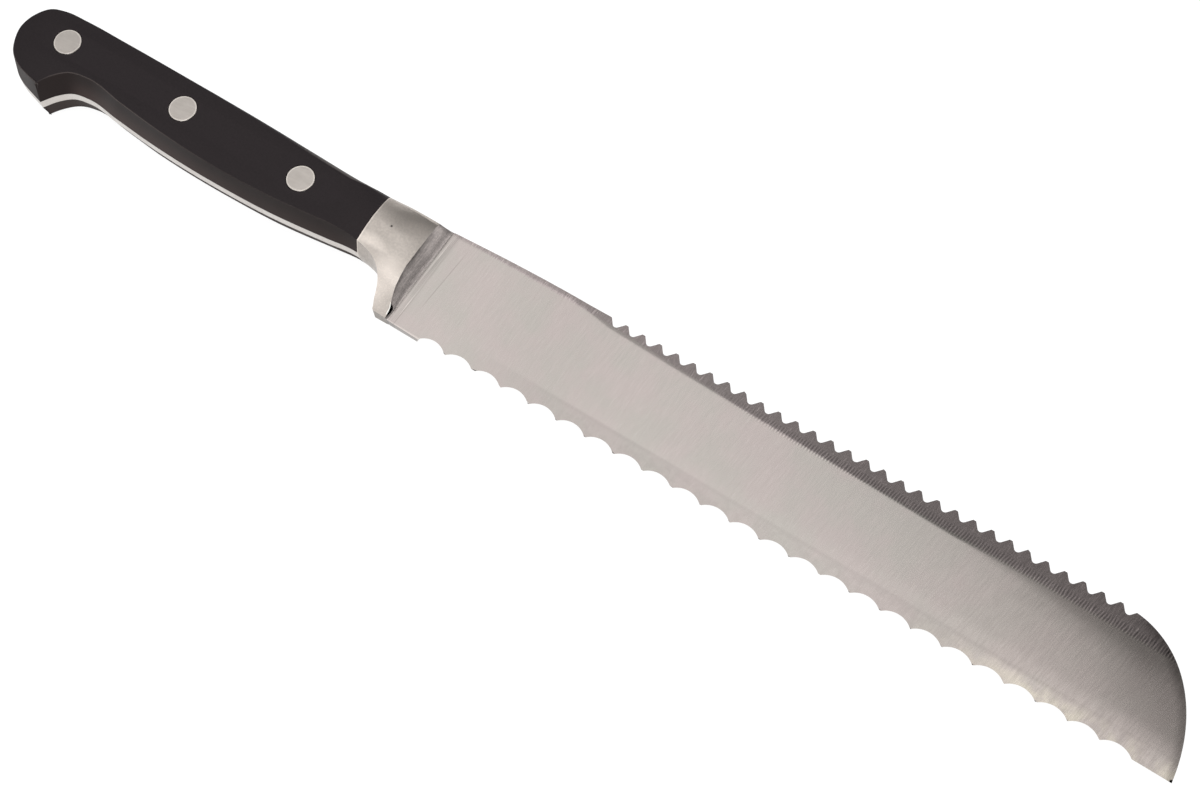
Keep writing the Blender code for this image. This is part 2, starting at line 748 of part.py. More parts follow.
for obj in list(bpy.data.objects):
    bpy.data.objects.remove(obj)
knife = new_collection("frozen_food_knife")
cutters = new_collection("cutters")
steel = material("satin_steel", (0.50, 0.47, 0.44), 1.0, 0.38)
plastic = material("black_plastic", (0.020, 0.018, 0.018), 0.0, 0.42)
rivet_steel = material("rivet_steel", (0.58, 0.54, 0.50), 1.0, 0.30)

outline = handle_outline()
sides = handle_sides(outline)
envelope = cheek_envelope()
places = rivet_places()
seats = [rivet_seat(f"{name}_rivet_seat", place) for name, place in places.items()]

pieces = {
    forged_blade(sides, envelope, seats): steel,
    scale("upper_scale", 1, sides, envelope, seats): plastic,
    scale("lower_scale", -1, sides, envelope, seats): plastic,
}
for name, place in places.items():
    pieces[rivet_post(f"{name}_rivet_post", place)] = rivet_steel
    pieces[rivet_sleeve(f"{name}_rivet_sleeve", place)] = rivet_steel

# The knife lies on its lower cheek, with the middle of its box over the origin
frame = bpy.data.objects.new("knife_frame", None)
knife.objects.link(frame)
highest = max(y for _, y in saw_line()[:-1])
rearmost = min(x for x, *_ in outline)
frame.location = (-(rearmost + BLADE_LENGTH) / 2, -highest / 2, CHEEK)
for piece, finish in pieces.items():
    piece.data.materials.append(finish)
    piece.parent = frame
for group in (knife, cutters):
    for obj in group.objects:
        if obj.type == "MESH":
            shade(obj)
for obj in cutters.objects:
    obj.parent = frame
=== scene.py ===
# %% [markdown]
# # A frozen food knife
#
# A frozen food knife saws through blocks of frozen meat and vegetables. One long piece of steel
# makes the blade, the bolster and the tang. Two black plastic scales are riveted to the tang, one
# on each side.
#
# The lesson follows the workshop. It sets up the view, forges the steel, fits the handle, and then
# gives each surface the finish that its tool would leave.
#
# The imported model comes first. Every piece below stands in its place, so it has to be there before
# anything else.

import math

import bmesh
import bpy
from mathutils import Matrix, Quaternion, Vector
from mathutils.geometry import interpolate_bezier


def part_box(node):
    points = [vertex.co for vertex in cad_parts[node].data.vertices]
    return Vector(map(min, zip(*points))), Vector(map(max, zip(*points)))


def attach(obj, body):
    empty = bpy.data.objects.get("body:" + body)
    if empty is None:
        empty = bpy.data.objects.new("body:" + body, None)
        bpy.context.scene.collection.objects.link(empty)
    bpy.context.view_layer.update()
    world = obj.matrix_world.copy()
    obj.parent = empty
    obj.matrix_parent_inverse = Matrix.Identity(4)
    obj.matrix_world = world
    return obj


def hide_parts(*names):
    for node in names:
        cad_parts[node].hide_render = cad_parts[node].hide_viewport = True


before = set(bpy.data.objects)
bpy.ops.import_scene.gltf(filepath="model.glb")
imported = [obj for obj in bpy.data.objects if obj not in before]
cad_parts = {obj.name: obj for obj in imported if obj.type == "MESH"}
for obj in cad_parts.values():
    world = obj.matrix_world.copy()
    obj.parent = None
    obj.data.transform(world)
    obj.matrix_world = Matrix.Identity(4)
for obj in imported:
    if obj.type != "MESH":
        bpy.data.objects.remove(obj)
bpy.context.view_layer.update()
print("pieces in the packed model:", ", ".join(sorted(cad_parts)))

# %% [markdown]
# ## Where the knife lies
#
# A knife maker measures along the blade from the foot of the bolster, up from the line of the edge,
# and out from the middle of the steel. Working in these three measures keeps every number readable.
#
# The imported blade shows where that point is. Each new piece is modelled round it and moved there in
# one step.

# %% The maker's starting point
BLADE_LENGTH = 0.2282
HANDLE_THICKNESS = 0.0155

steel_low, steel_high = (Vector(corner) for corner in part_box("forged_blade"))
start_point = Vector((steel_high.x - BLADE_LENGTH, steel_low.y, HANDLE_THICKNESS / 2))
print("foot of the bolster:", [round(value * 1000, 2) for value in start_point], "mm")

# %% [markdown]
# ## The camera
#
# The photograph was taken from above and from the belly side, with a fairly long lens. The round
# rivets, the straight edges and the even pitch of the teeth give the place of the camera, and its
# turn.
#
# A Blender camera can be aimed by hand until it looks right. Here the solved values are typed in,
# as the match is then the same everywhere in the picture.

# %% Camera
CAMERA_PLACE = (0.24348, -0.24221, 0.69120)
CAMERA_TURN = (25.4914, 4.8448, 34.2832)
FILM_WIDTH = 36
FOCAL_LENGTH = 90.72

lens = bpy.data.cameras.new("studio_camera")
lens.sensor_fit = "HORIZONTAL"
lens.sensor_width = FILM_WIDTH
lens.lens = FOCAL_LENGTH
camera = bpy.data.objects.new("studio_camera", lens)
camera.location = CAMERA_PLACE
camera.rotation_euler = [math.radians(angle) for angle in CAMERA_TURN]
bpy.context.scene.collection.objects.link(camera)
bpy.context.scene.camera = camera
print("camera to knife:", round(camera.location.length, 3), "m")

# %% [markdown]
# ## The floor
#
# The knife was photographed on plain white, and it throws no shadow there. That is the look of a
# light table, a white sheet that is lit from below.
#
# The sheet is wide and flat. A glossy one would mirror the knife, which the photograph doesn't
# show, so it is rough, has almost no shine, and glows evenly.

# %% Floor
FLOOR_SIZE = 8
FLOOR_DROP = 0.0001
SHEET_WHITE = 0.18
SHEET_GLOW = 0.90
SHEET_ROUGHNESS = 0.9
SHEET_SHINE = 0.1

half = FLOOR_SIZE / 2
sheet = bpy.data.meshes.new("floor")
corners = [(-half, -half), (half, -half), (half, half), (-half, half)]
sheet.from_pydata([(x, y, -FLOOR_DROP) for x, y in corners], [], [(0, 1, 2, 3)])
floor = bpy.data.objects.new("floor", sheet)
bpy.context.scene.collection.objects.link(floor)
glowing = bpy.data.materials.new("light_table")
glowing.use_nodes = True
shader = glowing.node_tree.nodes["Principled BSDF"]
shader.inputs["Base Color"].default_value = (SHEET_WHITE, SHEET_WHITE, SHEET_WHITE, 1)
shader.inputs["Roughness"].default_value = SHEET_ROUGHNESS
shader.inputs["Specular IOR Level"].default_value = SHEET_SHINE
shader.inputs["Emission Color"].default_value = (1, 1, 1, 1)
shader.inputs["Emission Strength"].default_value = SHEET_GLOW
sheet.materials.append(glowing)
print("floor:", FLOOR_SIZE, "m square")

# %% [markdown]
# ## The light
#
# Steel shows what it mirrors, so the lights decide how the blade looks. One large box over the
# handle side gives the blade its even grey. It ends near the tip and behind the spine, which is why
# the tip and the saw grow dark. Smaller boxes stand where the bolster, its slope and the rounded
# back of the handle look for light.
#
# A wide light under the ceiling lifts the whole scene. It is kept out of all mirror images, so that
# it doesn't wash out the steel.
#
# The plain Standard view keeps white as white, as in a product picture.

# %% Light
ROOM_LIGHT = 0.17


def soft_box(name, place, aim, size, brightness, turn=0, mirrored=True):
    """A flat soft light. Its brightness is what a mirror would show."""
    light = bpy.data.lights.new(name, "AREA")
    light.shape = "RECTANGLE"
    light.size, light.size_y = size
    light.energy = brightness * math.pi * size[0] * size[1]
    made = bpy.data.objects.new(name, light)
    made.location = place
    facing = (Vector(aim) - Vector(place)).to_track_quat("-Z", "Y")
    made.rotation_euler = (facing @ Quaternion((0, 0, 1), math.radians(turn))).to_euler()
    made.visible_glossy = mirrored
    made.visible_camera = False
    bpy.context.scene.collection.objects.link(made)
    print(name, "power:", round(light.energy, 1), "W")


soft_box("overhead_box", (-0.316, 0.2582, 1.2), (-0.316, 0.2582, 0), (1.4, 0.560), 0.88, -28)
soft_box("bright_box", (-0.635, -0.342, 1.2), (-0.635, -0.342, 0), (1.4, 0.8), 0.85, -28)
soft_box("camera_side_box", (0.75, -1.25, 1.3), (0, 0, 0), (1.4, 1.0), 2.0)
soft_box("far_side_box", (-1.0, 1.55, 1.08), (-0.2, 0, 0), (1.7, 0.85), 0.56)
soft_box("spine_box", (-0.7, 2.0, 0.35), (-0.1, 0, 0), (1.5, 0.5), 1.2)
soft_box("tip_side_box", (1.2, 0.85, 0.8), (0, 0, 0), (0.9, 0.7), 1.0)
soft_box("crest_box", (0.85, 0.25, 2.0), (0.85, 0.25, 0), (0.94, 1.00), 1.5)
soft_box("ceiling_box", (0, 0, 2.0), (0, 0, 0), (3.0, 3.0), 1.5, mirrored=False)
studio = bpy.data.worlds.new("studio")
bpy.context.scene.world = studio
studio.use_nodes = True
room = studio.node_tree.nodes["Background"].inputs
room["Color"].default_value = (1, 1, 1, 1)
room["Strength"].default_value = ROOM_LIGHT
bpy.context.scene.view_settings.view_transform = "Standard"

# %% [markdown]
# ## Smooth outlines
#
# A drop-forged knife has long flowing curves with no straight starts or stops. A few control
# points, with a smooth curve through them, describe such a line better than many short sides would.
#
# Each control point is a place along the knife and a height. It may carry more values, and these
# change evenly from one point to the next. A second helper reads a value off such a line at any
# place.

# %% A smooth line through a few points
LINE_STEP = 0.0007
MOST_STEPS = 14


def mix(a, b, share):
    return a + (b - a) * share


def directions(places):
    legs = [end - start for start, end in zip(places, places[1:])]
    found = [legs[0].normalized()]
    for back, ahead in zip(legs, legs[1:]):
        turn = back.normalized() * ahead.length + ahead.normalized() * back.length
        found.append(turn.normalized())
    return found + [legs[-1].normalized()]


def smooth_line(points):
    places = [Vector(point[:2]) for point in points]
    ways = directions(places)
    line = []
    for i, (start, end) in enumerate(zip(places, places[1:])):
        length = (end - start).length
        steps = max(1, min(MOST_STEPS, round(length / LINE_STEP)))
        handles = start + ways[i] * length / 3, end - ways[i + 1] * length / 3
        curve = interpolate_bezier(start, *handles, end, steps + 1)
        for step, place in enumerate(curve[:-1]):
            extras = [mix(a, b, step / steps) for a, b in zip(points[i][2:], points[i + 1][2:])]
            line.append((place.x, place.y, *extras))
    return line + [tuple(points[-1])]


def value_on(line, x, column=1):
    if x <= line[0][0]:
        return line[0][column]
    for start, end in zip(line, line[1:]):
        if x <= end[0]:
            return mix(start[column], end[column], (x - start[0]) / (end[0] - start[0]))
    return line[-1][column]


print("a line step is about", LINE_STEP * 1000, "mm")

# %% [markdown]
# ## Solids from rings of points
#
# The forging, the scales and the cutters are all skins stretched over rings of points, as a boat's
# planks lie over its ribs. Ready-made cubes and cylinders couldn't follow the curves, so each skin
# is made point by point.
#
# Rivets are turned on a lathe. Their profile is drawn once and swung round the middle.

# %% Lofted solids
def add(name, body):
    mesh = bpy.data.meshes.new(name)
    body.to_mesh(mesh)
    body.free()
    made = bpy.data.objects.new(name, mesh)
    bpy.context.scene.collection.objects.link(made)
    print(f"{name}: {len(mesh.polygons)} faces")
    return made


def loft(name, rings):
    """A closed skin over rings that all have the same number of points."""
    body = bmesh.new()
    loops = [[body.verts.new(point) for point in ring] for ring in rings]
    for lower, upper in zip(loops, loops[1:]):
        for a, b, c, d in zip(lower, lower[1:] + lower[:1], upper[1:] + upper[:1], upper):
            body.faces.new((a, b, c, d))
    body.faces.new(loops[0][::-1])
    body.faces.new(loops[-1])
    bmesh.ops.triangulate(body, faces=body.faces)
    bmesh.ops.recalc_face_normals(body, faces=body.faces)
    return add(name, body)


def plate(name, outline, low, high):
    return loft(name, [[(x, y, z) for x, y in outline] for z in (low, high)])


# %% Turned solids
LATHE_STEPS = 96


def turned(name, profile, place):
    """A profile of radius and height, from the middle out and back, swung round the axis."""
    body = bmesh.new()
    first, last = body.verts.new((0, 0, profile[0][1])), body.verts.new((0, 0, profile[-1][1]))
    loops = []
    for i in range(LATHE_STEPS):
        angle = 2 * math.pi * i / LATHE_STEPS
        east, north = math.cos(angle), math.sin(angle)
        loops.append([body.verts.new((r * east, r * north, z)) for r, z in profile[1:-1]])
    for here, there in zip(loops, loops[1:] + loops[:1]):
        body.faces.new((first, here[0], there[0]))
        for a, b, c, d in zip(here, here[1:], there[1:], there):
            body.faces.new((a, b, c, d))
        body.faces.new((last, there[-1], here[-1]))
    bmesh.ops.recalc_face_normals(body, faces=body.faces)
    bmesh.ops.translate(body, vec=place, verts=body.verts)
    return add(name, body)


# %% Cutting and joining
def combine(target, operation, tool):
    step = target.modifiers.new("step", "BOOLEAN")
    step.operation = operation
    step.solver = "MANIFOLD"
    step.object = tool
    graph = bpy.context.evaluated_depsgraph_get()
    mesh = bpy.data.meshes.new_from_object(target.evaluated_get(graph))
    old = target.data
    target.modifiers.clear()
    target.data = mesh
    bpy.data.meshes.remove(old)
    print(f"{target.name} {operation.lower()} {tool.name}: {len(mesh.polygons)} faces")


# %% [markdown]
# ## The handle's outline
#
# Seen from the side, the top of the handle is nearly straight and rounds over into the butt. The
# butt runs down into a hook that keeps the hand from slipping. The belly swings up behind the hook,
# down along the fingers and up to the bolster, and then drops to the heel of the blade in a deep
# finger curve.
#
# The scales and the tang share this outline, because they are ground together once they are
# riveted. So it is drawn once, and every piece of the handle is cut from it.
#
# Each point also says how far the side leans in on its way to the upper and to the lower cheek, and
# how round the cheek's edge is there. The belly leans most at the hook, where the thumb would
# otherwise catch.

# %% Sizes of the handle
BOLSTER_LENGTH = 0.0177
GRIP_LENGTH = 0.1164
TANG_THICKNESS = 0.0028
CREST_THICKNESS = 0.0084
JOINT = -BOLSTER_LENGTH
BUTT = JOINT - GRIP_LENGTH
HOOK = BUTT + 0.0162
CREST = -0.0034
FINGER_FRONT = 0.0062
CHEEK = HANDLE_THICKNESS / 2
TANG = TANG_THICKNESS / 2

GRIP_TOP = 0.0283
NECK_TOP = 0.02765
JOINT_TOP = 0.0279
CREST_TOP = 0.0294
BUTT_HEIGHT = 0.0173
HOOK_HEIGHT = 0.00365
HOLLOW_HEIGHT = 0.01125
WAIST_HEIGHT = 0.0087
JOINT_BELLY = 0.0119
SPINE_AT_FOOT = 0.0300
SPINE_AT_SAW = 0.0313
HEEL_HEIGHT = 0.0003
FOOT_RUNOUT = 0.0008
SEAM = 0.00005


def grip_x(share):
    """A place along the grip, from 0 at the butt to 1 at the bolster."""
    return BUTT + share * GRIP_LENGTH


print("grip from", round(BUTT * 1000, 1), "to", round(JOINT * 1000, 1), "mm")

# %% Back, butt and hook
BACK = (
    (FOOT_RUNOUT, SPINE_AT_FOOT - SEAM, 0, 0, 0.0008),
    (CREST, CREST_TOP, 0, 0, 0.0008),
    (JOINT + 0.34 * BOLSTER_LENGTH, (JOINT_TOP + CREST_TOP) / 2, 0, 0, 0.0010),
    (JOINT, JOINT_TOP, 0, 0, 0.0012),
    (grip_x(0.92), NECK_TOP, 0, 0, 0.0018),
    (grip_x(0.79), (NECK_TOP + GRIP_TOP) / 2, 0, 0, 0.0017),
    (grip_x(0.64), GRIP_TOP, 0, 0, 0.0012),
    (grip_x(0.50), GRIP_TOP, 0, 0, 0.0006),
    (grip_x(0.24), GRIP_TOP, 0, 0, 0.0005),
    (grip_x(0.13), GRIP_TOP - 0.00015, 0, 0, 0.0005),
    (grip_x(0.07), GRIP_TOP - 0.0007, 0, 0, 0.0005),
    (BUTT + 0.0038, GRIP_TOP - 0.0022, 0.0001, 0.0001, 0.0005),
    (BUTT + 0.0012, GRIP_TOP - 0.0055, 0.0002, 0.0002, 0.0005),
    (BUTT, BUTT_HEIGHT, 0.0002, 0.0002, 0.0005),
    (BUTT + 0.0009, BUTT_HEIGHT - 0.0037, 0.0003, 0.0003, 0.0005),
    (BUTT + 0.0030, BUTT_HEIGHT - 0.0076, 0.0006, 0.0006, 0.0004),
    (HOOK - 0.0104, HOOK_HEIGHT + 0.0036, 0.0009, 0.0009, 0.0003),
    (HOOK - 0.0070, HOOK_HEIGHT + 0.0020, 0.0012, 0.0011, 0.0002),
    (HOOK - 0.0036, HOOK_HEIGHT + 0.0010, 0.0014, 0.0012, 0.0002),
    (HOOK, HOOK_HEIGHT, 0.0018, 0.0014, 0.0002),
)
print("points along the back:", len(smooth_line(BACK)))

# %% Belly, finger curve and heel
BELLY = (
    (HOOK, HOOK_HEIGHT, 0.0018, 0.0014, 0.0002),
    (HOOK + 0.0027, HOLLOW_HEIGHT - 0.00375, 0.0025, 0.0014, 0.0002),
    (HOOK + 0.0057, HOLLOW_HEIGHT - 0.00115, 0.0029, 0.0015, 0.0002),
    (HOOK + 0.0107, HOLLOW_HEIGHT, 0.0028, 0.0018, 0.0002),
    (grip_x(0.32), HOLLOW_HEIGHT - 0.0009, 0.0024, 0.0017, 0.0002),
    (grip_x(0.42), WAIST_HEIGHT + 0.00063, 0.0022, 0.0016, 0.0002),
    (grip_x(0.53), WAIST_HEIGHT + 0.00005, 0.0019, 0.0017, 0.0002),
    (grip_x(0.64), WAIST_HEIGHT, 0.0017, 0.0018, 0.0002),
    (grip_x(0.77), WAIST_HEIGHT + 0.00055, 0.0018, 0.0018, 0.0002),
    (grip_x(0.92), JOINT_BELLY - 0.0009, 0.0018, 0.0020, 0.0002),
    (JOINT - 0.0017, JOINT_BELLY, 0.0015, 0.0018, 0.0002),
    (JOINT + 0.0018, JOINT_BELLY - 0.0001, 0.0014, 0.0015, 0.0002),
    (JOINT + 0.0048, JOINT_BELLY - 0.0005, 0.0010, 0.0010, 0.0002),
    (JOINT + 0.0080, JOINT_BELLY - 0.0019, 0.0003, 0.0003, 0.0002),
    (-FINGER_FRONT - 0.0014, JOINT_BELLY - 0.0041, 0, 0, 0.0002),
    (-FINGER_FRONT, JOINT_BELLY - 0.0070, 0, 0, 0.0002),
    (-FINGER_FRONT + 0.0007, HEEL_HEIGHT + 0.0026, 0, 0, 0.0002),
    (-FINGER_FRONT + 0.00145, HEEL_HEIGHT + 0.0010, 0, 0, 0.0002),
    (-FINGER_FRONT + 0.0017, HEEL_HEIGHT + 0.0003, 0, 0, 0.0002),
    (-FINGER_FRONT + 0.0021, HEEL_HEIGHT, 0, 0, 0.0002),
    (-FINGER_FRONT + 0.0026, HEEL_HEIGHT, 0, 0, 0.0002),
    (FOOT_RUNOUT, HEEL_HEIGHT - 0.00005, 0, 0, 0.0002),
)
handle_outline = smooth_line(BACK)[:-1] + smooth_line(BELLY)
print("points round the handle:", len(handle_outline))

# %% [markdown]
# ## The handle's sides
#
# The sides run straight from the tang out to the cheeks and are eased over a small round edge
# there. A bevel modifier would round every edge alike. Rings of points at chosen heights let the
# lean and the edge change along the way, as they do on the real handle.

# %% Sides
EDGE_ANGLES = (15, 30, 45, 60, 75)
CHEEK_OVERRUN = 0.001


def inward(line):
    """For each point, the step that moves the line in by one unit."""
    steps = []
    count = len(line)
    for i in range(count):
        before, here, after = (Vector(line[j % count][:2]) for j in (i - 1, i, i + 1))
        first = (here - before).normalized().orthogonal()
        second = (after - here).normalized().orthogonal()
        steps.append((first + second) / (1 + first.dot(second)))
    return steps


def on_round(lean, radius, angle):
    return CHEEK - radius * (1 - math.sin(angle)), lean + radius * (1 - math.cos(angle))


def past_round(lean, radius):
    low, near = on_round(lean, radius, math.radians(EDGE_ANGLES[-1]))
    return 2 * CHEEK - low, 2 * (lean + radius) - near


# %% The rings of the sides
def side_levels():
    """Each level turns a lean and an edge radius into a height and a step in from the outline."""
    levels = [
        lambda lean, radius: (TANG, 0),
        lambda lean, radius: (CHEEK - radius, lean * (CHEEK - radius - TANG) / (CHEEK - TANG)),
    ]
    for angle in map(math.radians, EDGE_ANGLES):
        levels.append(lambda lean, radius, angle=angle: on_round(lean, radius, angle))
    levels.append(past_round)
    levels.append(lambda lean, radius: (CHEEK + CHEEK_OVERRUN, past_round(lean, radius)[1]))
    return levels


def side_ring(side, level, steps):
    ring = []
    for (x, y, upper_lean, lower_lean, radius), step in zip(handle_outline, steps):
        height, inset = level(upper_lean if side > 0 else lower_lean, radius)
        ring.append((x + step.x * inset, y + step.y * inset, side * height))
    return ring


steps = inward(handle_outline)
below = [side_ring(-1, level, steps) for level in reversed(side_levels())]
above = [side_ring(1, level, steps) for level in side_levels()]
handle_sides = loft("handle_sides", below + above)

# %% [markdown]
# ## The cheeks and the bolster
#
# The cheeks are flat behind the rivets and crown a little towards the bolster. The bolster carries
# on from them, swells down to a crest, and then falls in a hollow slope to the blade. Its lower end
# narrows to the heel.
#
# Such a body has no flat side to start from. It is lofted from upright rails instead, one every
# millimetre or so from the butt to the foot. The table gives the thickness and the place of the
# crest at each height.

# %% Sizes of the bolster
BOLSTER_ROWS = (
    (-0.004, 0.22, 0.33, 0.05),
    (0.000, 0.32, 0.41, 0.07),
    (0.003, 0.46, 0.53, 0.16),
    (0.005, 0.58, 0.64, 0.42),
    (0.008, 0.73, 0.82, 0.70),
    (0.0103, 0.78, 0.91, 0.83),
    (0.0123, 0.81, 0.945, 0.92),
    (0.0145, 0.88, 0.972, 1.00),
    (0.0170, 0.95, 0.990, 1.00),
    (0.0195, 0.99, 1.00, 1.00),
)
ROW_STEPS = 4
JOINT_SHOULDER = (0.0075, 0.0017)
CREST_SHOULDER = (0.0085, 0.0010)
SHOULDER_STEPS = 12
SHOULDER_OVERRUN = (0.005, 2.2)


def eased(a, b, slope_a, slope_b, share):
    """A cubic curve from a to b with the given slopes at its ends."""
    s = share
    start = (2 * s**3 - 3 * s**2 + 1) * a + (s**3 - 2 * s**2 + s) * slope_a
    return start + (3 * s**2 - 2 * s**3) * b + (s**3 - s**2) * slope_b


def smooth_rows(rows):
    fine = []
    for i in range(len(rows) - 1):
        a, b = rows[i], rows[i + 1]
        before, after = rows[max(0, i - 1)], rows[min(len(rows) - 1, i + 2)]
        run = b[0] - a[0]
        for step in range(ROW_STEPS):
            row = [mix(a[0], b[0], step / ROW_STEPS)]
            for k in range(1, 4):
                slope_a = (b[k] - before[k]) / (b[0] - before[0]) * run
                slope_b = (after[k] - a[k]) / (after[0] - a[0]) * run
                row.append(eased(a[k], b[k], slope_a, slope_b, step / ROW_STEPS))
            fine.append(tuple(row))
    return fine + [rows[-1]]


bolster_rows = smooth_rows(BOLSTER_ROWS)
print("rows up the bolster:", len(bolster_rows))

# %% The thickness along one row
CROWN_START = 0.009
CROWN_SLANT = 0.5
CROWN_LOW = 0.013
CROWN_POWER = 1.6
CROWN_OVERRUN = 0.005
CREST_STEEPNESS = 1.6
FOOT_HOLLOW = 1.6
FOOT_SINK = 0.00008
FOOT_HALF = 0.0013 - FOOT_SINK


def row_point(along, height, joint_half, crest_half, crest_x):
    """Place and half thickness: 0 to 1 is the crown, 1 to 2 the body and 2 to 3 the slope."""
    start = JOINT - CROWN_START - CROWN_SLANT * max(0, height - CROWN_LOW)
    drop = CHEEK - joint_half
    if along < 0:
        return BUTT - CROWN_OVERRUN, CHEEK
    if along <= 1:
        return mix(start, JOINT, along), CHEEK - drop * along**CROWN_POWER
    if along <= 2:
        fall = crest_half - joint_half
        slope_in = max(fall, -CROWN_POWER * drop / (JOINT - start) * (crest_x - JOINT))
        half = eased(joint_half, crest_half, slope_in, CREST_STEEPNESS * fall, along - 1)
        return mix(JOINT, crest_x, along - 1), half
    half = FOOT_HALF + (crest_half - FOOT_HALF) * (3 - along) ** FOOT_HOLLOW
    return mix(crest_x, FOOT_RUNOUT, along - 2), half


# %% Rails from the heel to the back
CROWN_RAILS = 12
BODY_RAILS = 16
SLOPE_RAILS = 14


def cheek_rail(along, top):
    shoulder = mix(JOINT_SHOULDER[0], CREST_SHOULDER[0], min(1, max(0, along - 1)))
    rows = [(*row, 0) for row in bolster_rows]
    for step in range(SHOULDER_STEPS):
        share = step / (SHOULDER_STEPS - 1)
        rows.append((top - shoulder * (1 - share), 1, 1, 1, 1 - math.sqrt(1 - share**2)))
    rows.append((top + SHOULDER_OVERRUN[0], 1, 1, 1, SHOULDER_OVERRUN[1]))
    rail = []
    for height, joint_share, crest_share, back_share, fall in rows:
        joint_half = joint_share * CHEEK - fall * JOINT_SHOULDER[1]
        crest_half = crest_share * CREST_THICKNESS / 2 - fall * CREST_SHOULDER[1]
        x, half = row_point(along, height, joint_half, crest_half, CREST * back_share)
        rail.append((x, height, half))
    return rail


def rail_line(along):
    """Where a rail stands along the knife at the top."""
    if along < 0:
        return BUTT
    ends = (JOINT - CROWN_START, JOINT, CREST, FOOT_RUNOUT)
    leg = min(2, int(along))
    return mix(ends[leg], ends[leg + 1], along - leg)


rail_places = [-1, *(i / CROWN_RAILS for i in range(CROWN_RAILS))]
rail_places += [1 + i / BODY_RAILS for i in range(BODY_RAILS)]
rail_places += [2 + i / SLOPE_RAILS for i in range(SLOPE_RAILS + 1)]
top_line = sorted(point[:2] for point in smooth_line(BACK[:9]))
rings = []
for along in rail_places:
    near = cheek_rail(along, value_on(top_line, rail_line(along)))
    rings.append(near + [(x, y, -z) for x, y, z in reversed(near)])
cheeks = loft("cheeks", rings)

# %% [markdown]
# ## The section of the blade
#
# The blade is thickest along the spine. It is ground thinner towards the edge and meets a low bevel
# there. Along the back, a narrow band leans in to thin the steel for the saw. The band starts at
# the bolster as a light chamfer, and widens where the teeth begin.
#
# Each station along the blade gets its own section, so that all of these can change from heel to
# tip.

# %% Sizes of the section
SPINE_THICKNESS = 0.0026
TIP_THICKNESS = 0.0020
BEVEL_TOP_THICKNESS = 0.0019
EDGE_THICKNESS = 0.0012
BEVEL_HEIGHT = 0.0055
GRIND_RUNOUT = 0.018
TIP_ROUND_LENGTH = 0.0303
TIP_ROUND_HEIGHT = 0.0400
TIP_ROUND_TOP = 0.03262

# Place along the blade, height where the band starts, and its lean in degrees.
SAW_BAND = (
    (-0.004, 0.0286, 3.8),
    (0.004, 0.0290, 3.8),
    (0.014, 0.0295, 3.9),
    (0.036, 0.0300, 4.0),
    (0.040, 0.0298, 4.0),
    (0.050, 0.0283, 4.1),
    (0.072, 0.0276, 4.2),
    (0.112, 0.0269, 4.4),
    (0.153, 0.0260, 4.6),
    (0.180, 0.0268, 4.3),
)


def blade_section(x):
    """Four corners of the near half section, from under the edge to over the spine."""
    ground = min(1, max(0, x / GRIND_RUNOUT))
    stock = mix(SPINE_THICKNESS, TIP_THICKNESS, max(0, x) / BLADE_LENGTH) / 2
    edge = mix(stock, EDGE_THICKNESS / 2, ground)
    bevel = mix(stock, BEVEL_TOP_THICKNESS / 2, ground)
    band = value_on(SAW_BAND, x)
    lean = math.radians(value_on(SAW_BAND, x, 2))
    foot = mix(bevel, stock, (band - BEVEL_HEIGHT) / (SPINE_AT_SAW - BEVEL_HEIGHT))
    over = 2 * (TIP_ROUND_TOP - band)
    return (
        (-BEVEL_HEIGHT / 2, edge - (bevel - edge) / 2),
        (BEVEL_HEIGHT, bevel),
        (band, foot),
        (band + over, foot - over * math.tan(lean)),
    )


mid_halves = [round(half * 1000, 2) for _, half in blade_section(BLADE_LENGTH / 2)]
print("half thickness in mid blade:", mid_halves, "mm")

# %% [markdown]
# ## The saw
#
# The saw is a row of round-bottomed notches with flat lands between them. A ganged cutter makes
# eight at a time, and each gang stands a little higher than the last, so the row climbs in slow
# steps.
#
# An array modifier would repeat one notch exactly. Working each notch out in a loop lets the row
# climb.

# %% Saw
SAW_START = 0.05104
SAW_PITCH = 0.005086
SAW_DEPTH = 0.00205
SAW_FLANK = math.radians(51)
SAW_VALLEY_RADIUS = 0.0010
SAW_END = BLADE_LENGTH - 0.0275
GANG_TEETH = 8
FIRST_GANG = (0.02938, 0.00005)
NEXT_GANGS = (0.02947, 0.0001025)
GANG_RISE = 0.00045
NOTCH_STEPS = 12
COUNT_SLACK = 0.01


def notch_floor(index):
    """Height of a notch's floor, and how much the next one is higher."""
    gang, place = divmod(index, GANG_TEETH)
    floor, climb = NEXT_GANGS if gang else FIRST_GANG
    return floor + GANG_RISE * max(0, gang - 1) + climb * place, climb


def saw_line():
    arc_rise = SAW_VALLEY_RADIUS * (1 - math.cos(SAW_FLANK))
    arc_reach = SAW_VALLEY_RADIUS * math.sin(SAW_FLANK)
    reach = arc_reach + (SAW_DEPTH - arc_rise) / math.tan(SAW_FLANK)
    count = 1 + math.floor((SAW_END - reach - SAW_START) / SAW_PITCH + COUNT_SLACK)
    line = []
    for index in range(count):
        x = SAW_START + SAW_PITCH * index
        floor, climb = notch_floor(index)
        tilt = climb / SAW_PITCH
        line.append((x - reach, floor + SAW_DEPTH - tilt * reach))
        for step in range(NOTCH_STEPS + 1):
            angle = SAW_FLANK * (2 * step / NOTCH_STEPS - 1)
            across = SAW_VALLEY_RADIUS * math.sin(angle)
            rise = SAW_VALLEY_RADIUS * (1 - math.cos(angle))
            line.append((x + across, floor + rise + tilt * across))
        line.append((x + reach, floor + SAW_DEPTH + tilt * reach))
    print("saw notches:", count)
    return line


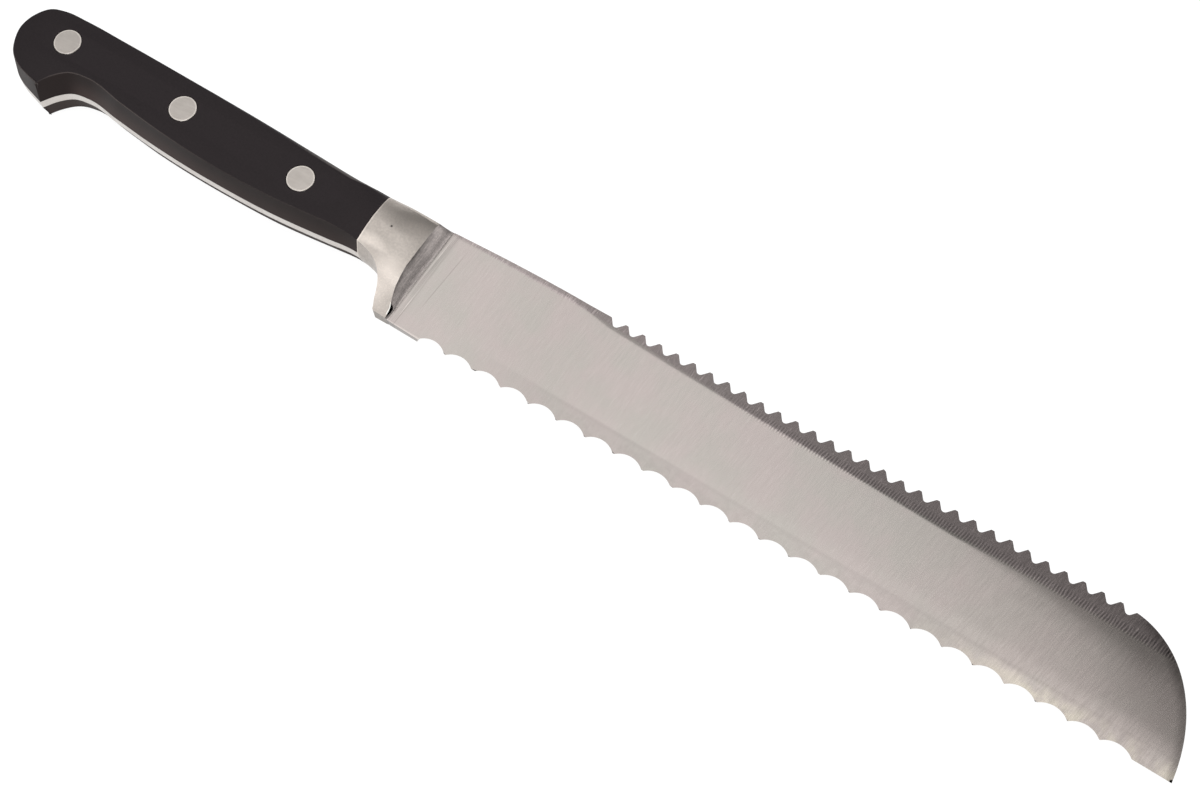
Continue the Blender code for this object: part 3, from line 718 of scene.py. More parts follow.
# %% [markdown]
# ## The outline of the blade
#
# The spine rises gently from the bolster to the first tooth. The tip is a quarter of an oval. The
# edge is a row of shallow scallops, all ground from the far face, so the near face stays flat right
# down to their points.
#
# The outline gives a blank with a straight lower side. The scallops are cut out of it later by the
# shape of the grinding wheel, as that also leaves their slanting facets.

# %% Tip
EDGE_STOCK = 0.0004
TIP_STEPS = 72
rim_share = (TIP_ROUND_TOP - TIP_ROUND_HEIGHT) / TIP_ROUND_HEIGHT
TIP_CENTER = Vector((
    BLADE_LENGTH - TIP_ROUND_LENGTH * math.sqrt(1 - rim_share**2),
    TIP_ROUND_TOP - TIP_ROUND_HEIGHT,
))


def tip_line(start):
    first = math.acos((start - TIP_CENTER.x) / TIP_ROUND_LENGTH)
    last = math.asin((-TIP_CENTER.y - EDGE_STOCK) / TIP_ROUND_HEIGHT)
    angles = [mix(first, last, step / TIP_STEPS) for step in range(TIP_STEPS + 1)]
    x, y = TIP_CENTER
    reach, height = TIP_ROUND_LENGTH, TIP_ROUND_HEIGHT
    return [(x + reach * math.cos(a), y + height * math.sin(a)) for a in angles]


print("middle of the tip's oval:", [round(value * 1000, 1) for value in TIP_CENTER], "mm")

# %% Scallops
SCALLOP_START = 0.01010
FIRST_SCALLOP = 0.00838
SCALLOP_PITCH = 0.008655
SCALLOP_DEPTHS = (0.0019, 0.0016)
SCALLOP_END = BLADE_LENGTH - 0.0110
SCALLOP_STEPS = 20
END_SLACK = 0.0005
TAIL_STEPS = 12
TIP_OVERRUN = 0.001


def scallop_line():
    line = [(SCALLOP_START, 0)]
    x, width = SCALLOP_START, FIRST_SCALLOP
    while x + width <= SCALLOP_END + END_SLACK:
        depth = mix(*SCALLOP_DEPTHS, (x - SCALLOP_START) / (SCALLOP_END - SCALLOP_START))
        radius = (width**2 / 4 + depth**2) / (2 * depth)
        half_angle = math.asin(width / 2 / radius)
        for step in range(1, SCALLOP_STEPS + 1):
            angle = half_angle * (2 * step / SCALLOP_STEPS - 1)
            height = depth - radius * (1 - math.cos(angle))
            line.append((x + width / 2 + radius * math.sin(angle), height))
        x, width = x + width, SCALLOP_PITCH
    for step in range(1, TAIL_STEPS + 1):
        line.append((mix(x, BLADE_LENGTH + TIP_OVERRUN, step / TAIL_STEPS), 0))
    return line


print("points along the scallops:", len(scallop_line()))

# %% Blank
SPINE_MIDDLE = 0.018
SPINE_MIDDLE_SHARE = 0.68
SPINE_LEVEL_FROM = 0.036
BLANK_START = CREST + 0.0008
HEEL_TUCK = 0.002
SPINE_TUCK = 0.003


def blade_outline():
    saw = saw_line()
    corner_x, corner_y = saw[-1]
    across = (corner_x - TIP_CENTER.x) / TIP_ROUND_LENGTH
    fall = max(0, corner_y - TIP_CENTER.y - TIP_ROUND_HEIGHT * math.sqrt(1 - across**2))
    spine = smooth_line((
        (FOOT_RUNOUT, SPINE_AT_FOOT + SEAM),
        (SPINE_MIDDLE, mix(SPINE_AT_FOOT, SPINE_AT_SAW, SPINE_MIDDLE_SHARE)),
        (SPINE_LEVEL_FROM, SPINE_AT_SAW),
        (0.5 * (SPINE_LEVEL_FROM + saw[0][0]), SPINE_AT_SAW),
    ))
    heel = [
        (SCALLOP_START + 2 * SCALLOP_PITCH, -EDGE_STOCK),
        (SCALLOP_START, 0),
        (FOOT_RUNOUT, HEEL_HEIGHT - 2 * SEAM),
        (BLANK_START, HEEL_HEIGHT + HEEL_TUCK),
        (BLANK_START, SPINE_AT_FOOT - SPINE_TUCK),
    ]
    return spine + saw[:-1] + tip_line(corner_x - fall / math.tan(SAW_FLANK)) + heel


blade = plate("blade_blank", blade_outline(), -SPINE_THICKNESS, SPINE_THICKNESS)

# %% [markdown]
# ## The faces of the blade
#
# A belt grinder never leaves perfect planes. The corners between bevel, face and band are eased,
# most of all towards the tip, where the face also falls away a little. This faint fall is what
# makes the reflections on the real blade bend and darken there.
#
# The faces are lofted from rows of points, close together at the eased corners. The blank is then
# trimmed by them, as the grinder trims the real one.

# %% The fall towards the tip
TIP_FALL = 0.00045
TIP_FALL_START = 0.03
TIP_FALL_SPREAD = 1.5
TIP_FALL_MOST = 1.2
TIP_FALL_POWER = 4


def tip_fall(x, y):
    """How much lower the near face is than a flat blade's."""
    upward = (y - TIP_CENTER.y) / TIP_ROUND_HEIGHT
    along = max(0, (x - TIP_CENTER.x + TIP_FALL_START) / (TIP_ROUND_LENGTH + TIP_FALL_START))
    lifted = max(0, upward) * min(1, along * TIP_FALL_SPREAD)
    return TIP_FALL * min(TIP_FALL_MOST, math.hypot(along**2, lifted)) ** TIP_FALL_POWER


near_tip = tip_fall(BLADE_LENGTH - 0.01, 0.012)
print("the near face falls", round(near_tip * 1000, 2), "mm near the tip")

# %% Rows up the face
EDGE_ROWS = 6
FACE_ROWS = 16
BAND_ROWS = 10
TOP_ROW = 0.0345
BEVEL_EASE = (-0.0006, -0.0003, 0, 0.0003, 0.0006)
BAND_EASE = (-0.0008, -0.0003, 0, 0.0003, 0.0008)
BEVEL_SOFT = 0.00022
BAND_SOFT = (0.00002, 0.00034)
BAND_SOFT_FROM = 0.156
BAND_SOFT_RUN = 0.036


def spread(start, end, count):
    return [mix(start, end, i / count) for i in range(1, count)]


def soft_min(a, b, softness):
    """The smaller of two values, with the corner between them rounded."""
    blend = max(0, softness - abs(a - b)) / softness
    return min(a, b) - blend**2 * softness / 4


def line_value(start, end, y):
    return mix(start[1], end[1], (y - start[0]) / (end[0] - start[0]))


def face_rows(x):
    edge, bevel, band, top = blade_section(x)
    near_bevel = [bevel[0] + step for step in BEVEL_EASE]
    near_band = [band[0] + step for step in BAND_EASE]
    heights = [edge[0], *spread(edge[0], near_bevel[0], EDGE_ROWS), *near_bevel]
    heights += [*spread(near_bevel[-1], near_band[0], FACE_ROWS), *near_band]
    heights += [*spread(near_band[-1], TOP_ROW, BAND_ROWS), TOP_ROW]
    band_soft = mix(*BAND_SOFT, min(1, max(0, (x - BAND_SOFT_FROM) / BAND_SOFT_RUN)))
    rows = []
    for y in heights:
        half = soft_min(line_value(edge, bevel, y), line_value(bevel, band, y), BEVEL_SOFT)
        half = soft_min(half, line_value(band, top, y), band_soft)
        rows.append((y, half - tip_fall(x, y)))
    return rows


def section_ring(x):
    rows = face_rows(x)
    return [(x, y, half) for y, half in rows] + [(x, y, -half) for y, half in reversed(rows)]


print("rows up the face:", len(face_rows(0.1)))

# %% Ground faces
FOOT_STATIONS = (CREST - 0.002, 0, 0.002, 0.004, 0.007, 0.010, 0.014)
BODY_STATIONS = (GRIND_RUNOUT, 0.004, 32)
TIP_STATIONS = (0.146, 0.001, 84)

stations = list(FOOT_STATIONS)
for start, step, count in (BODY_STATIONS, TIP_STATIONS):
    stations += [start + i * step for i in range(count)]
blade_faces = loft("blade_faces", [section_ring(x) for x in stations])
combine(blade, "INTERSECT", blade_faces)

# %% [markdown]
# ## The scalloped edge
#
# A shaped wheel grinds the scallops from the far side at a flat angle. Where it meets the near face
# it leaves the row of points that cuts.
#
# The wheel is modelled as one long cutter whose rim follows the near face exactly. Its slanting
# side then makes every facet in a single cut.

# %% Scallop grinder
FACET_ANGLE = math.radians(25)
GRINDER_DEPTH = 0.02
GRINDER_LEAN = 0.5


def grinder_ring(z):
    points = []
    for x, y in scallop_line():
        (low, thin), (top, thick) = blade_section(x)[:2]
        face = mix(thin, thick, (y - low) / (top - low)) - tip_fall(x, y)
        points.append((x, y + (face - z) / math.tan(FACET_ANGLE), z))
    points.append((BLADE_LENGTH + TIP_OVERRUN, -GRINDER_DEPTH, z))
    points.append((SCALLOP_START + GRINDER_LEAN * (z - SPINE_THICKNESS), -GRINDER_DEPTH, z))
    return points


grinder = loft("edge_grinder", [grinder_ring(-SPINE_THICKNESS), grinder_ring(SPINE_THICKNESS)])
combine(blade, "DIFFERENCE", grinder)

# %% [markdown]
# ## The rivet seats
#
# Three rivets hold the scales. Each needs a through hole for its shank, and a flat-bottomed seat on
# both sides that lets its head lie flush. One turned cutter has the shape of all three at once.

# %% Seats
RIVET_RADIUS = 0.0038
RIVET_HEAD = 0.0016
RIVET_CHAMFER = 0.00006
HEAD_CLEARANCE = 0.00015
SHANK_HOLE = 0.0029
BED_GAP = 0.0001
REAR_RIVET = BUTT + 0.0145
FRONT_RIVET = JOINT - 0.0228
RIVETS = {
    "rear": (REAR_RIVET, 0.0201, 0),
    "middle": ((REAR_RIVET + FRONT_RIVET) / 2, 0.0200, 0),
    "front": (FRONT_RIVET, 0.0195, 0),
}
head_floor = CHEEK - RIVET_HEAD


def seat(name, place):
    past, floor = CHEEK + CHEEK_OVERRUN, head_floor - BED_GAP
    wide = RIVET_RADIUS + HEAD_CLEARANCE
    upper = [(0, past), (wide, past), (wide, floor), (SHANK_HOLE, floor)]
    return turned(name, upper + [(r, -z) for r, z in reversed(upper)], place)


seats = [seat(f"{name}_seat", place) for name, place in RIVETS.items()]

# %% [markdown]
# ## The forging and the scales
#
# The blade, the bolster and the tang are one forging, so they have to end as one solid. The outline
# and the cheeks are crossed first, which gives the handle as a whole. Taking the scales' room away
# leaves the bolster and the tang, and the blade is joined to them.
#
# The scales are the same whole handle, kept only in that room. In this way they meet the bolster
# and the tang on all sides with the same thin seam.

# %% Forging
ROOM_HEIGHTS = (-0.01, 0.04)
ROOM_BEHIND = 0.01
ROOM_OUTSIDE = 0.005


def copy_of(source, name):
    body = bmesh.new()
    body.from_mesh(source.data)
    return add(name, body)


def side_room(name, side, gap):
    low, high = sorted((side * (TANG + gap), side * (CHEEK + ROOM_OUTSIDE)))
    behind, ahead = BUTT - ROOM_BEHIND, JOINT - gap
    bottom, top = ROOM_HEIGHTS
    corners = [(behind, bottom), (ahead, bottom), (ahead, top), (behind, top)]
    return plate(name, corners, low, high)


forging = copy_of(handle_sides, "blade_and_tang")
combine(forging, "INTERSECT", cheeks)
for side, name in ((1, "upper_room"), (-1, "lower_room")):
    combine(forging, "DIFFERENCE", side_room(name, side, 0))
combine(forging, "UNION", blade)
for tool in seats:
    combine(forging, "DIFFERENCE", tool)

# %% Scales
scales = {}
for side, name in ((1, "upper"), (-1, "lower")):
    made = copy_of(handle_sides, f"{name}_grip")
    combine(made, "INTERSECT", cheeks)
    combine(made, "INTERSECT", side_room(f"{name}_grip_room", side, BED_GAP))
    for tool in seats:
        combine(made, "DIFFERENCE", tool)
    scales[f"{name}_scale"] = made

# %% [markdown]
# ## The rivets
#
# These are two-part rivets: a solid post from above is pressed into a sleeve from below, until both
# heads bite. The ends are then ground flush with the plastic, which leaves a plain disc with a fine
# bright rim.

# %% Rivet halves
POST_RADIUS = 0.0017
BORE_RADIUS = 0.0020
SLEEVE_RADIUS = 0.0026
END_GAP = 0.0004
HEAD = [
    (0, CHEEK),
    (RIVET_RADIUS - RIVET_CHAMFER, CHEEK),
    (RIVET_RADIUS, CHEEK - RIVET_CHAMFER),
    (RIVET_RADIUS, head_floor),
]


def post(name, place):
    end = END_GAP - head_floor
    shank = [(POST_RADIUS, head_floor), (POST_RADIUS, end), (0, end)]
    return turned(name, HEAD + shank, place)


def sleeve(name, place):
    rim = head_floor - END_GAP
    bore = [(0, -head_floor), (BORE_RADIUS, -head_floor), (BORE_RADIUS, rim), (SLEEVE_RADIUS, rim)]
    head = [(r, -z) for r, z in reversed(HEAD)]
    return turned(name, [*bore, (SLEEVE_RADIUS, -head_floor), *head], place)


rivets = {}
for name, place in RIVETS.items():
    rivets[f"{name}_rivet_post"] = post(f"{name}_post", place)
    rivets[f"{name}_rivet_sleeve"] = sleeve(f"{name}_sleeve", place)

# %% [markdown]
# ## Small tools for materials
#
# A procedural finish is a chain of nodes: where on the surface, how strong, what colour. The same
# few links come up in every chain, so short helpers place them. Without these, each finish would
# take a page of code.

# %% Placing nodes
def feed(tree, socket, value):
    """Links the output of another node, or sets a plain value."""
    if isinstance(value, bpy.types.NodeSocket):
        tree.links.new(value, socket)
    else:
        socket.default_value = value


def place_node(tree, kind, inputs=None, **settings):
    made = tree.nodes.new(kind)
    for name, value in settings.items():
        setattr(made, name, value)
    for key, value in (inputs or {}).items():
        feed(tree, made.inputs[key], value)
    return made.outputs


# %% Sums on nodes
def calculate(tree, operation, *values):
    return place_node(tree, "ShaderNodeMath", dict(enumerate(values)), operation=operation)["Value"]


def vector_math(tree, operation, *values):
    return place_node(tree, "ShaderNodeVectorMath", dict(enumerate(values)), operation=operation)


def scaled(tree, value, by, plus=0.0):
    return calculate(tree, "MULTIPLY_ADD", value, by, plus)


def chain(tree, operation, first, *others):
    for value in others:
        first = calculate(tree, operation, first, value)
    return first


def product(tree, *values):
    return chain(tree, "MULTIPLY", *values)


def layers(tree, *parts):
    """Adds up parts. Each part is a mask, or several, and a strength, and these are multiplied."""
    return chain(tree, "ADD", *(product(tree, *part) for part in parts))


# %% Masks
SPOT_CORE = 0.4


def rise(tree, value, start, end, low=0.0, high=1.0):
    """Goes smoothly from low to high while the value goes from start to end."""
    inputs = {"Value": value, "From Min": start, "From Max": end, "To Min": low, "To Max": high}
    return place_node(tree, "ShaderNodeMapRange", inputs, interpolation_type="SMOOTHSTEP")["Result"]


def strip(tree, value, start, end, soft):
    """1 between start and end, fading to 0 outside over the soft width."""
    up = rise(tree, value, start - soft, start + soft)
    down = rise(tree, value, end - soft, end + soft, 1.0, 0.0)
    return product(tree, up, down)


def side_place(tree, x, y):
    """A place on the knife's side, as a vector."""
    return place_node(tree, "ShaderNodeCombineXYZ", {"X": x, "Y": y})["Vector"]


def away_from(tree, at, x, y):
    return vector_math(tree, "DISTANCE", side_place(tree, at["X"], at["Y"]), (x, y, 0))["Value"]


def spot(tree, at, x, y, radius):
    return rise(tree, away_from(tree, at, x, y), radius, radius * SPOT_CORE)


def blend_colors(tree, share, a, b, **settings):
    inputs = {0: share, 6: a, 7: b}
    return place_node(tree, "ShaderNodeMix", inputs, data_type="RGBA", **settings)[2]


# %% Node groups
NUMBER, COLOUR = "NodeSocketFloat", "NodeSocketColor"
WHITE, PALE_GREY = (1, 1, 1, 1), (0.9, 0.9, 0.9, 1)


def new_group(name, inputs, outputs):
    tree = bpy.data.node_groups.new(name, "ShaderNodeTree")
    for label, value in inputs.items():
        kind = COLOUR if isinstance(value, tuple) else NUMBER
        socket = tree.interface.new_socket(name=label, in_out="INPUT", socket_type=kind)
        socket.default_value = value
    for label, kind in outputs.items():
        tree.interface.new_socket(name=label, in_out="OUTPUT", socket_type=kind)
    print("effect:", name, "with", ", ".join(inputs))
    return tree, tree.nodes.new("NodeGroupInput").outputs, tree.nodes.new("NodeGroupOutput").inputs


def use_group(tree, group, labels, values):
    return place_node(tree, "ShaderNodeGroup", dict(zip(labels, values)), node_tree=group)


# %% [markdown]
# ## Grinding lines
#
# Every steel surface here was ground or brushed in one direction. Its lines are noise that is
# squeezed one way and drawn out the other. A streak texture painted by hand would repeat, and noise
# doesn't.
#
# The group gives fine lines and, less often, a deeper scratch. Each steel says how dense, how long
# and how slanted its own are.

# %% Lines
LINE_SETTINGS = {"Lines per Metre": 1000.0, "Stretch": 25.0, "Slant": 0.0, "Fineness": 4.0}
lines_group, given, result = new_group(
    "grinding_lines", LINE_SETTINGS, {"Lines": NUMBER, "Scratches": NUMBER}
)
tree = lines_group
turn = {"Vector": place_node(tree, "ShaderNodeTexCoord")["Object"], "Angle": given["Slant"]}
slanted = place_node(tree, "ShaderNodeVectorRotate", turn, rotation_type="Z_AXIS")["Vector"]
dense = given["Lines per Metre"]
along = calculate(tree, "DIVIDE", dense, given["Stretch"])
scale = place_node(tree, "ShaderNodeCombineXYZ", {"X": dense, "Y": along, "Z": dense})["Vector"]
drawn_out = vector_math(tree, "MULTIPLY", slanted, scale)["Vector"]
for label, size, detail, roughness, start, end in (
    ("Lines", 1.0, given["Fineness"], 0.75, 0.3, 0.7),
    ("Scratches", 1.7, 1.0, 0.5, 0.62, 0.72),
):
    inputs = {"Vector": drawn_out, "Scale": size, "Detail": detail, "Roughness": roughness}
    noise = place_node(tree, "ShaderNodeTexNoise", inputs)["Fac"]
    tree.links.new(rise(tree, noise, start, end), result[label])


def grinding_lines(tree, per_metre, stretch, slant=0.0, fineness=2.0):
    return use_group(tree, lines_group, LINE_SETTINGS, (per_metre, stretch, slant, fineness))


# %% [markdown]
# ## Clouding
#
# Neither steel nor plastic has one even colour. Steel shows faint warm and cool patches, and
# moulded plastic has dull and shiny ones. This group blends two colours in soft patches of a chosen
# size.

# %% Clouds
CLOUD_SETTINGS = {"Patch Size": 0.02, "Softness": 0.25, "Colour A": WHITE, "Colour B": PALE_GREY}
cloud_group, given, result = new_group(
    "clouding", CLOUD_SETTINGS, {"Clouds": NUMBER, "Colour": COLOUR}
)
tree = cloud_group
coords = place_node(tree, "ShaderNodeTexCoord")["Object"]
per_metre = calculate(tree, "DIVIDE", 1.0, given["Patch Size"])
inputs = {"Vector": coords, "Scale": per_metre, "Detail": 3.0, "Roughness": 0.55}
noise = place_node(tree, "ShaderNodeTexNoise", inputs)["Fac"]
low = calculate(tree, "SUBTRACT", 0.5, given["Softness"])
high = calculate(tree, "ADD", 0.5, given["Softness"])
clouds = rise(tree, noise, low, high)
tree.links.new(clouds, result["Clouds"])
tree.links.new(blend_colors(tree, clouds, given["Colour A"], given["Colour B"]), result["Colour"])


def clouding(tree, patch, softness, a=WHITE, b=PALE_GREY):
    return use_group(tree, cloud_group, CLOUD_SETTINGS, (patch, softness, a, b))


# %% [markdown]
# ## Specks
#
# A close look at the photograph shows tiny dark points on the steel and pale dust on the plastic.
# Cells with a small dot in the middle give them, and only some of the cells are used, so that they
# lie at random.

# %% Dots
SPECK_SETTINGS = {"Spacing": 0.006, "Size": 0.03, "Share": 0.3}
speck_group, given, result = new_group("specks", SPECK_SETTINGS, {"Specks": NUMBER})
tree = speck_group
coords = place_node(tree, "ShaderNodeTexCoord")["Object"]
per_metre = calculate(tree, "DIVIDE", 1.0, given["Spacing"])
cells = place_node(tree, "ShaderNodeTexVoronoi", {"Vector": coords, "Scale": per_metre})
near = rise(tree, cells["Distance"], given["Size"], 0.0)
chance = place_node(tree, "ShaderNodeSeparateColor", {"Color": cells["Color"]})[0]
chosen = calculate(tree, "LESS_THAN", chance, given["Share"])
tree.links.new(product(tree, near, chosen), result["Specks"])


def specks(tree, spacing, size, share):
    return use_group(tree, speck_group, SPECK_SETTINGS, (spacing, size, share))["Specks"]


# %% [markdown]
# ## Tone
#
# Lines, specks, worn places, painted shade and painted highlights all make a colour darker or
# lighter. This last group takes the sum of the dark ones and the sum of the light ones and tones the
# colour once. Each finish then keeps a single chain for it.

# %% Darker and lighter
BASE_TONE = 1.06
TONE_SETTINGS = {"Colour": WHITE, "Dark": 0.0, "Light": 0.0}
tone_group, given, result = new_group("tone", TONE_SETTINGS, {"Colour": COLOUR})
tree = tone_group
darker = calculate(tree, "SUBTRACT", BASE_TONE, given["Dark"])
level = calculate(tree, "ADD", darker, given["Light"])
channels = dict.fromkeys(("Red", "Green", "Blue"), level)
grey = place_node(tree, "ShaderNodeCombineColor", channels)["Color"]
shaded = blend_colors(tree, 1.0, given["Colour"], grey, blend_type="MULTIPLY")
tree.links.new(shaded, result["Colour"])


def toned(tree, color, dark, light=0.0):
    return use_group(tree, tone_group, TONE_SETTINGS, (color, dark, light))["Colour"]


# %% The start and the end of a finish
def new_finish(name, metallic=1):
    """The material, its nodes and shader, a point's place, and the way that it faces."""
    made = bpy.data.materials.new(name)
    made.use_nodes = True
    tree = made.node_tree
    shader = tree.nodes["Principled BSDF"]
    shader.inputs["Metallic"].default_value = metallic
    coords = place_node(tree, "ShaderNodeTexCoord")
    at = place_node(tree, "ShaderNodeSeparateXYZ", {"Vector": coords["Object"]})
    facing = place_node(tree, "ShaderNodeSeparateXYZ", {"Vector": coords["Normal"]})
    print("finish:", name)
    return made, tree, shader, at, facing


def finish_shader(tree, shader, color, roughness, height, depth):
    tree.links.new(color, shader.inputs["Base Color"])
    tree.links.new(roughness, shader.inputs["Roughness"])
    inputs = {"Height": height, "Strength": 1.0, "Distance": depth}
    tree.links.new(place_node(tree, "ShaderNodeBump", inputs)["Normal"], shader.inputs["Normal"])
    print("nodes in its chain:", len(tree.nodes))


# %% [markdown]
# ## Blade steel
#
# The blade is ground crosswise on a belt. The lines lean back a little towards the tip and are
# plainest there and in the saw's band, where drawing them darker adds painted shade. The steel has
# faint pink and green patches, a few specks, a mauve cast by the saw and the tip, and yellowish
# marks from the heat of the grinding near the tip.
#
# The lines stretch each reflection across them. The shader's own anisotropy does that, which bump
# alone would only do with far more samples.
#
# The marks have their own places, so each gets a mask with a name. A painted map would do this too,
# but masks stay sharp at any distance, and their numbers are places on the knife in metres.

# %% Blade colour
BLADE_PINK = (0.560, 0.497, 0.474, 1)
BLADE_GREEN = (0.532, 0.497, 0.462, 1)
TIP_MAUVE = (0.600, 0.530, 0.494, 1)
BAND_MAUVE = (0.575, 0.492, 0.488, 1)
HEAT_YELLOW = (0.80, 0.74, 0.60, 1)

blade_steel, tree, shader, at, facing = new_finish("ground_blade_steel")
x, y = at["X"], at["Y"]
slant = rise(tree, x, 0.0, 0.20, 0.0, math.radians(8))
lines = grinding_lines(tree, per_metre=2100.0, stretch=13.0, slant=slant)
tint = clouding(tree, patch=0.014, softness=0.16, a=BLADE_PINK, b=BLADE_GREEN)
marks = clouding(tree, patch=0.005, softness=0.12)
by_tip = rise(tree, x, 0.13, 0.20)
heat = product(tree, marks["Clouds"], rise(tree, x, 0.150, 0.195), rise(tree, y, 0.0062, 0.0015))

# %% Blade colour along the saw
band_height = rise(tree, x, 0.040, 0.110, 0.0295, 0.0268)
over_band = calculate(tree, "SUBTRACT", y, band_height)
in_band = rise(tree, over_band, -0.0004, 0.0004)
steel_color = tint["Colour"]
for mask, strength, color in (
    (by_tip, 0.60, TIP_MAUVE),
    (heat, 0.50, HEAT_YELLOW),
    (in_band, 0.70, BAND_MAUVE),
):
    steel_color = blend_colors(tree, product(tree, mask, strength), steel_color, color)
print("nodes in the blade's colour:", len(tree.nodes))

# %% [markdown]
# ## The saw's comb
#
# Where the narrow wheel that thinned the band ran out, its rim left a comb of short lines, evenly
# spaced. Noise would scatter them, so a wave is used, bent a little by noise of its own.

# %% Comb
COMB_PITCH = 0.00082
COMB_LEAN = 0.08
COMB_FROM, COMB_FULL = 0.075, 0.115
WAVE_RADIANS = 20  # The wave texture turns this far in one unit at a scale of 1.

comb_way = calculate(tree, "SUBTRACT", x, scaled(tree, y, COMB_LEAN))
comb = place_node(
    tree,
    "ShaderNodeTexWave",
    {
        "Vector": side_place(tree, comb_way, y),
        "Scale": math.tau / WAVE_RADIANS / COMB_PITCH,
        "Distortion": 3.0,
        "Detail": 2.0,
        "Detail Scale": 0.8,
    },
    wave_type="BANDS",
    bands_direction="X",
)["Fac"]
comb_dark = rise(tree, comb, 0.30, 0.80)
comb_light = rise(tree, comb, 0.35, 0.05)
along_saw = rise(tree, x, COMB_FROM, COMB_FULL)
fringe = product(tree, strip(tree, over_band, -0.0005, 0.0018, 0.0005), along_saw)
print("comb lines along the saw:", round((TIP_CENTER.x - COMB_FROM) / COMB_PITCH))

# %% [markdown]
# ## Marks by the foot, the edge and the tip
#
# By the foot, a belt's edge left a strip of long upright lines, with a scribed line a little
# further on and a dark line at the foot, partly grime and partly painted shade. The bevel is
# mottled and, with the edge band, carries painted shade. The heel has painted shade below and a
# painted highlight on its lower edge. The tip has painted shade round its rim, where the face
# falls, and over its upper part, and painted light near its edge.

# %% Foot and heel
foot_strip = strip(tree, x, 0.0011, 0.0027, 0.0004)
foot_lines = grinding_lines(tree, per_metre=3600.0, stretch=60.0, slant=0.02, fineness=1.0)
# A dark line at the foot: partly grime, partly painted shade in the corner.
foot_grime_and_shade = rise(tree, x, 0.0010, 0.0006)
scribe_way = calculate(tree, "SUBTRACT", x, scaled(tree, y, 0.05, 0.0054))
scribe_run = strip(tree, y, 0.009, 0.025, 0.004)
scribe = product(tree, strip(tree, scribe_way, -0.00012, 0.00012, 0.00015), scribe_run)
on_heel = rise(tree, x, 0.0125, 0.0105)
# Painted shade under the heel.
heel_underside_shade = product(tree, rise(tree, facing["Y"], -0.6, -0.9), on_heel)
# A painted highlight along the heel's lower edge.
heel_edge_highlight = product(tree, rise(tree, y, 0.0007, 0.0002), on_heel, rise(tree, facing["Z"], 0.8, 0.9))
print("nodes with the foot and the heel:", len(tree.nodes))

# %% Bevel and edge
# Painted shade over the bevel and along the edge band, where the tilted face is darker.
edge_top = rise(tree, x, 0.03, 0.12, 0.0056, 0.0040)
in_bevel = rise(tree, calculate(tree, "SUBTRACT", edge_top, y), -0.0012, 0.0012)
bevel_shade = product(tree, in_bevel, strip(tree, x, 0.030, 0.100, 0.018))
past_heel = rise(tree, x, 0.030, 0.070)
edge_zone_shade = product(tree, rise(tree, y, 0.0060, 0.0050), past_heel)
edge_line = product(
    tree, strip(tree, y, 0.0050, 0.0056, 0.0005), strip(tree, x, 0.040, 0.090, 0.020)
)
far_edge = product(tree, rise(tree, y, 0.0085, 0.0050), rise(tree, x, 0.130, 0.160))
mottled = clouding(tree, patch=0.0022, softness=0.10)["Clouds"]
mottle = product(tree, mottled, rise(tree, y, 0.0050, 0.0040), past_heel)
# Painted light near the edge towards the tip.
painted_edge_light = product(tree, strip(tree, x, 0.172, 0.200, 0.012), rise(tree, y, 0.0050, 0.0038))
print("nodes with the bevel and the edge:", len(tree.nodes))

# %% Tip
# Painted shade over the upper part of the tip.
upper_tip_shade = product(tree, rise(tree, x, 0.165, 0.185), strip(tree, y, 0.0205, 0.0262, 0.0022))
middle = (TIP_CENTER.x, TIP_CENTER.y, 0)
to_circle = (1 / TIP_ROUND_LENGTH, 1 / TIP_ROUND_HEIGHT, 0)
from_middle = vector_math(tree, "SUBTRACT", side_place(tree, x, y), middle)["Vector"]
as_circle = vector_math(tree, "MULTIPLY", from_middle, to_circle)["Vector"]
out = vector_math(tree, "LENGTH", as_circle)["Value"]
past_center = rise(tree, x, TIP_CENTER.x, TIP_CENTER.x + 0.010)
# Painted shade round the tip's rim, where the face falls.
tip_rim_shade = product(tree, rise(tree, out, 0.905, 0.990), past_center)
print("nodes with the tip:", len(tree.nodes))

# %% Where the lines show
# The lines are real; drawing them darker towards the tip and in the saw's band is painted shade.
line_and_shade_strength = layers(
    tree,
    (rise(tree, x, 0.13, 0.21, 0.02, 0.15),),
    (in_band, 0.18),
    (rise(tree, y, 0.012, 0.022), rise(tree, x, 0.170, 0.200), 0.05),
)
print("nodes with the lines:", len(tree.nodes))

# %% [markdown]
# ## The blade's tones
#
# Now the masks are weighed against each other. Each row below is a mark and its strength, which
# makes it easy to turn one up or down after a look at the render.

# %% Blade tones
TIP_POINT = (0.2279, 0.0003)
STRETCHED = 0.3

dark = layers(
    tree,
    (lines["Lines"], line_and_shade_strength),
    (bevel_shade, 0.06),
    (foot_strip, foot_lines["Lines"], 0.24),
    (heel_underside_shade, 0.55),
    (scribe, 0.20),
    (foot_grime_and_shade, 0.22),
    (fringe, comb_dark, 0.30),
    (edge_zone_shade, 0.08),
    (edge_line, 0.04),
    (far_edge, 0.06),
    (strip(tree, x, 0.024, 0.055, 0.014), 0.03),
    (upper_tip_shade, 0.12),
    (specks(tree, spacing=0.007, size=0.035, share=0.35), 0.18),
    (spot(tree, at, *TIP_POINT, 0.0006), 0.65),
    (tip_rim_shade, 0.34),
)
light = layers(
    tree,
    (foot_strip, foot_lines["Scratches"], 0.35),
    (heel_edge_highlight, 0.3),
    (lines["Scratches"], scaled(tree, in_band, 0.34, 0.04)),
    (fringe, comb_light, 0.22),
    (mottle, 0.05),
    (painted_edge_light, 0.12),
)
color = toned(tree, steel_color, dark, light)
rough = scaled(tree, lines["Lines"], by=0.02, plus=0.22)
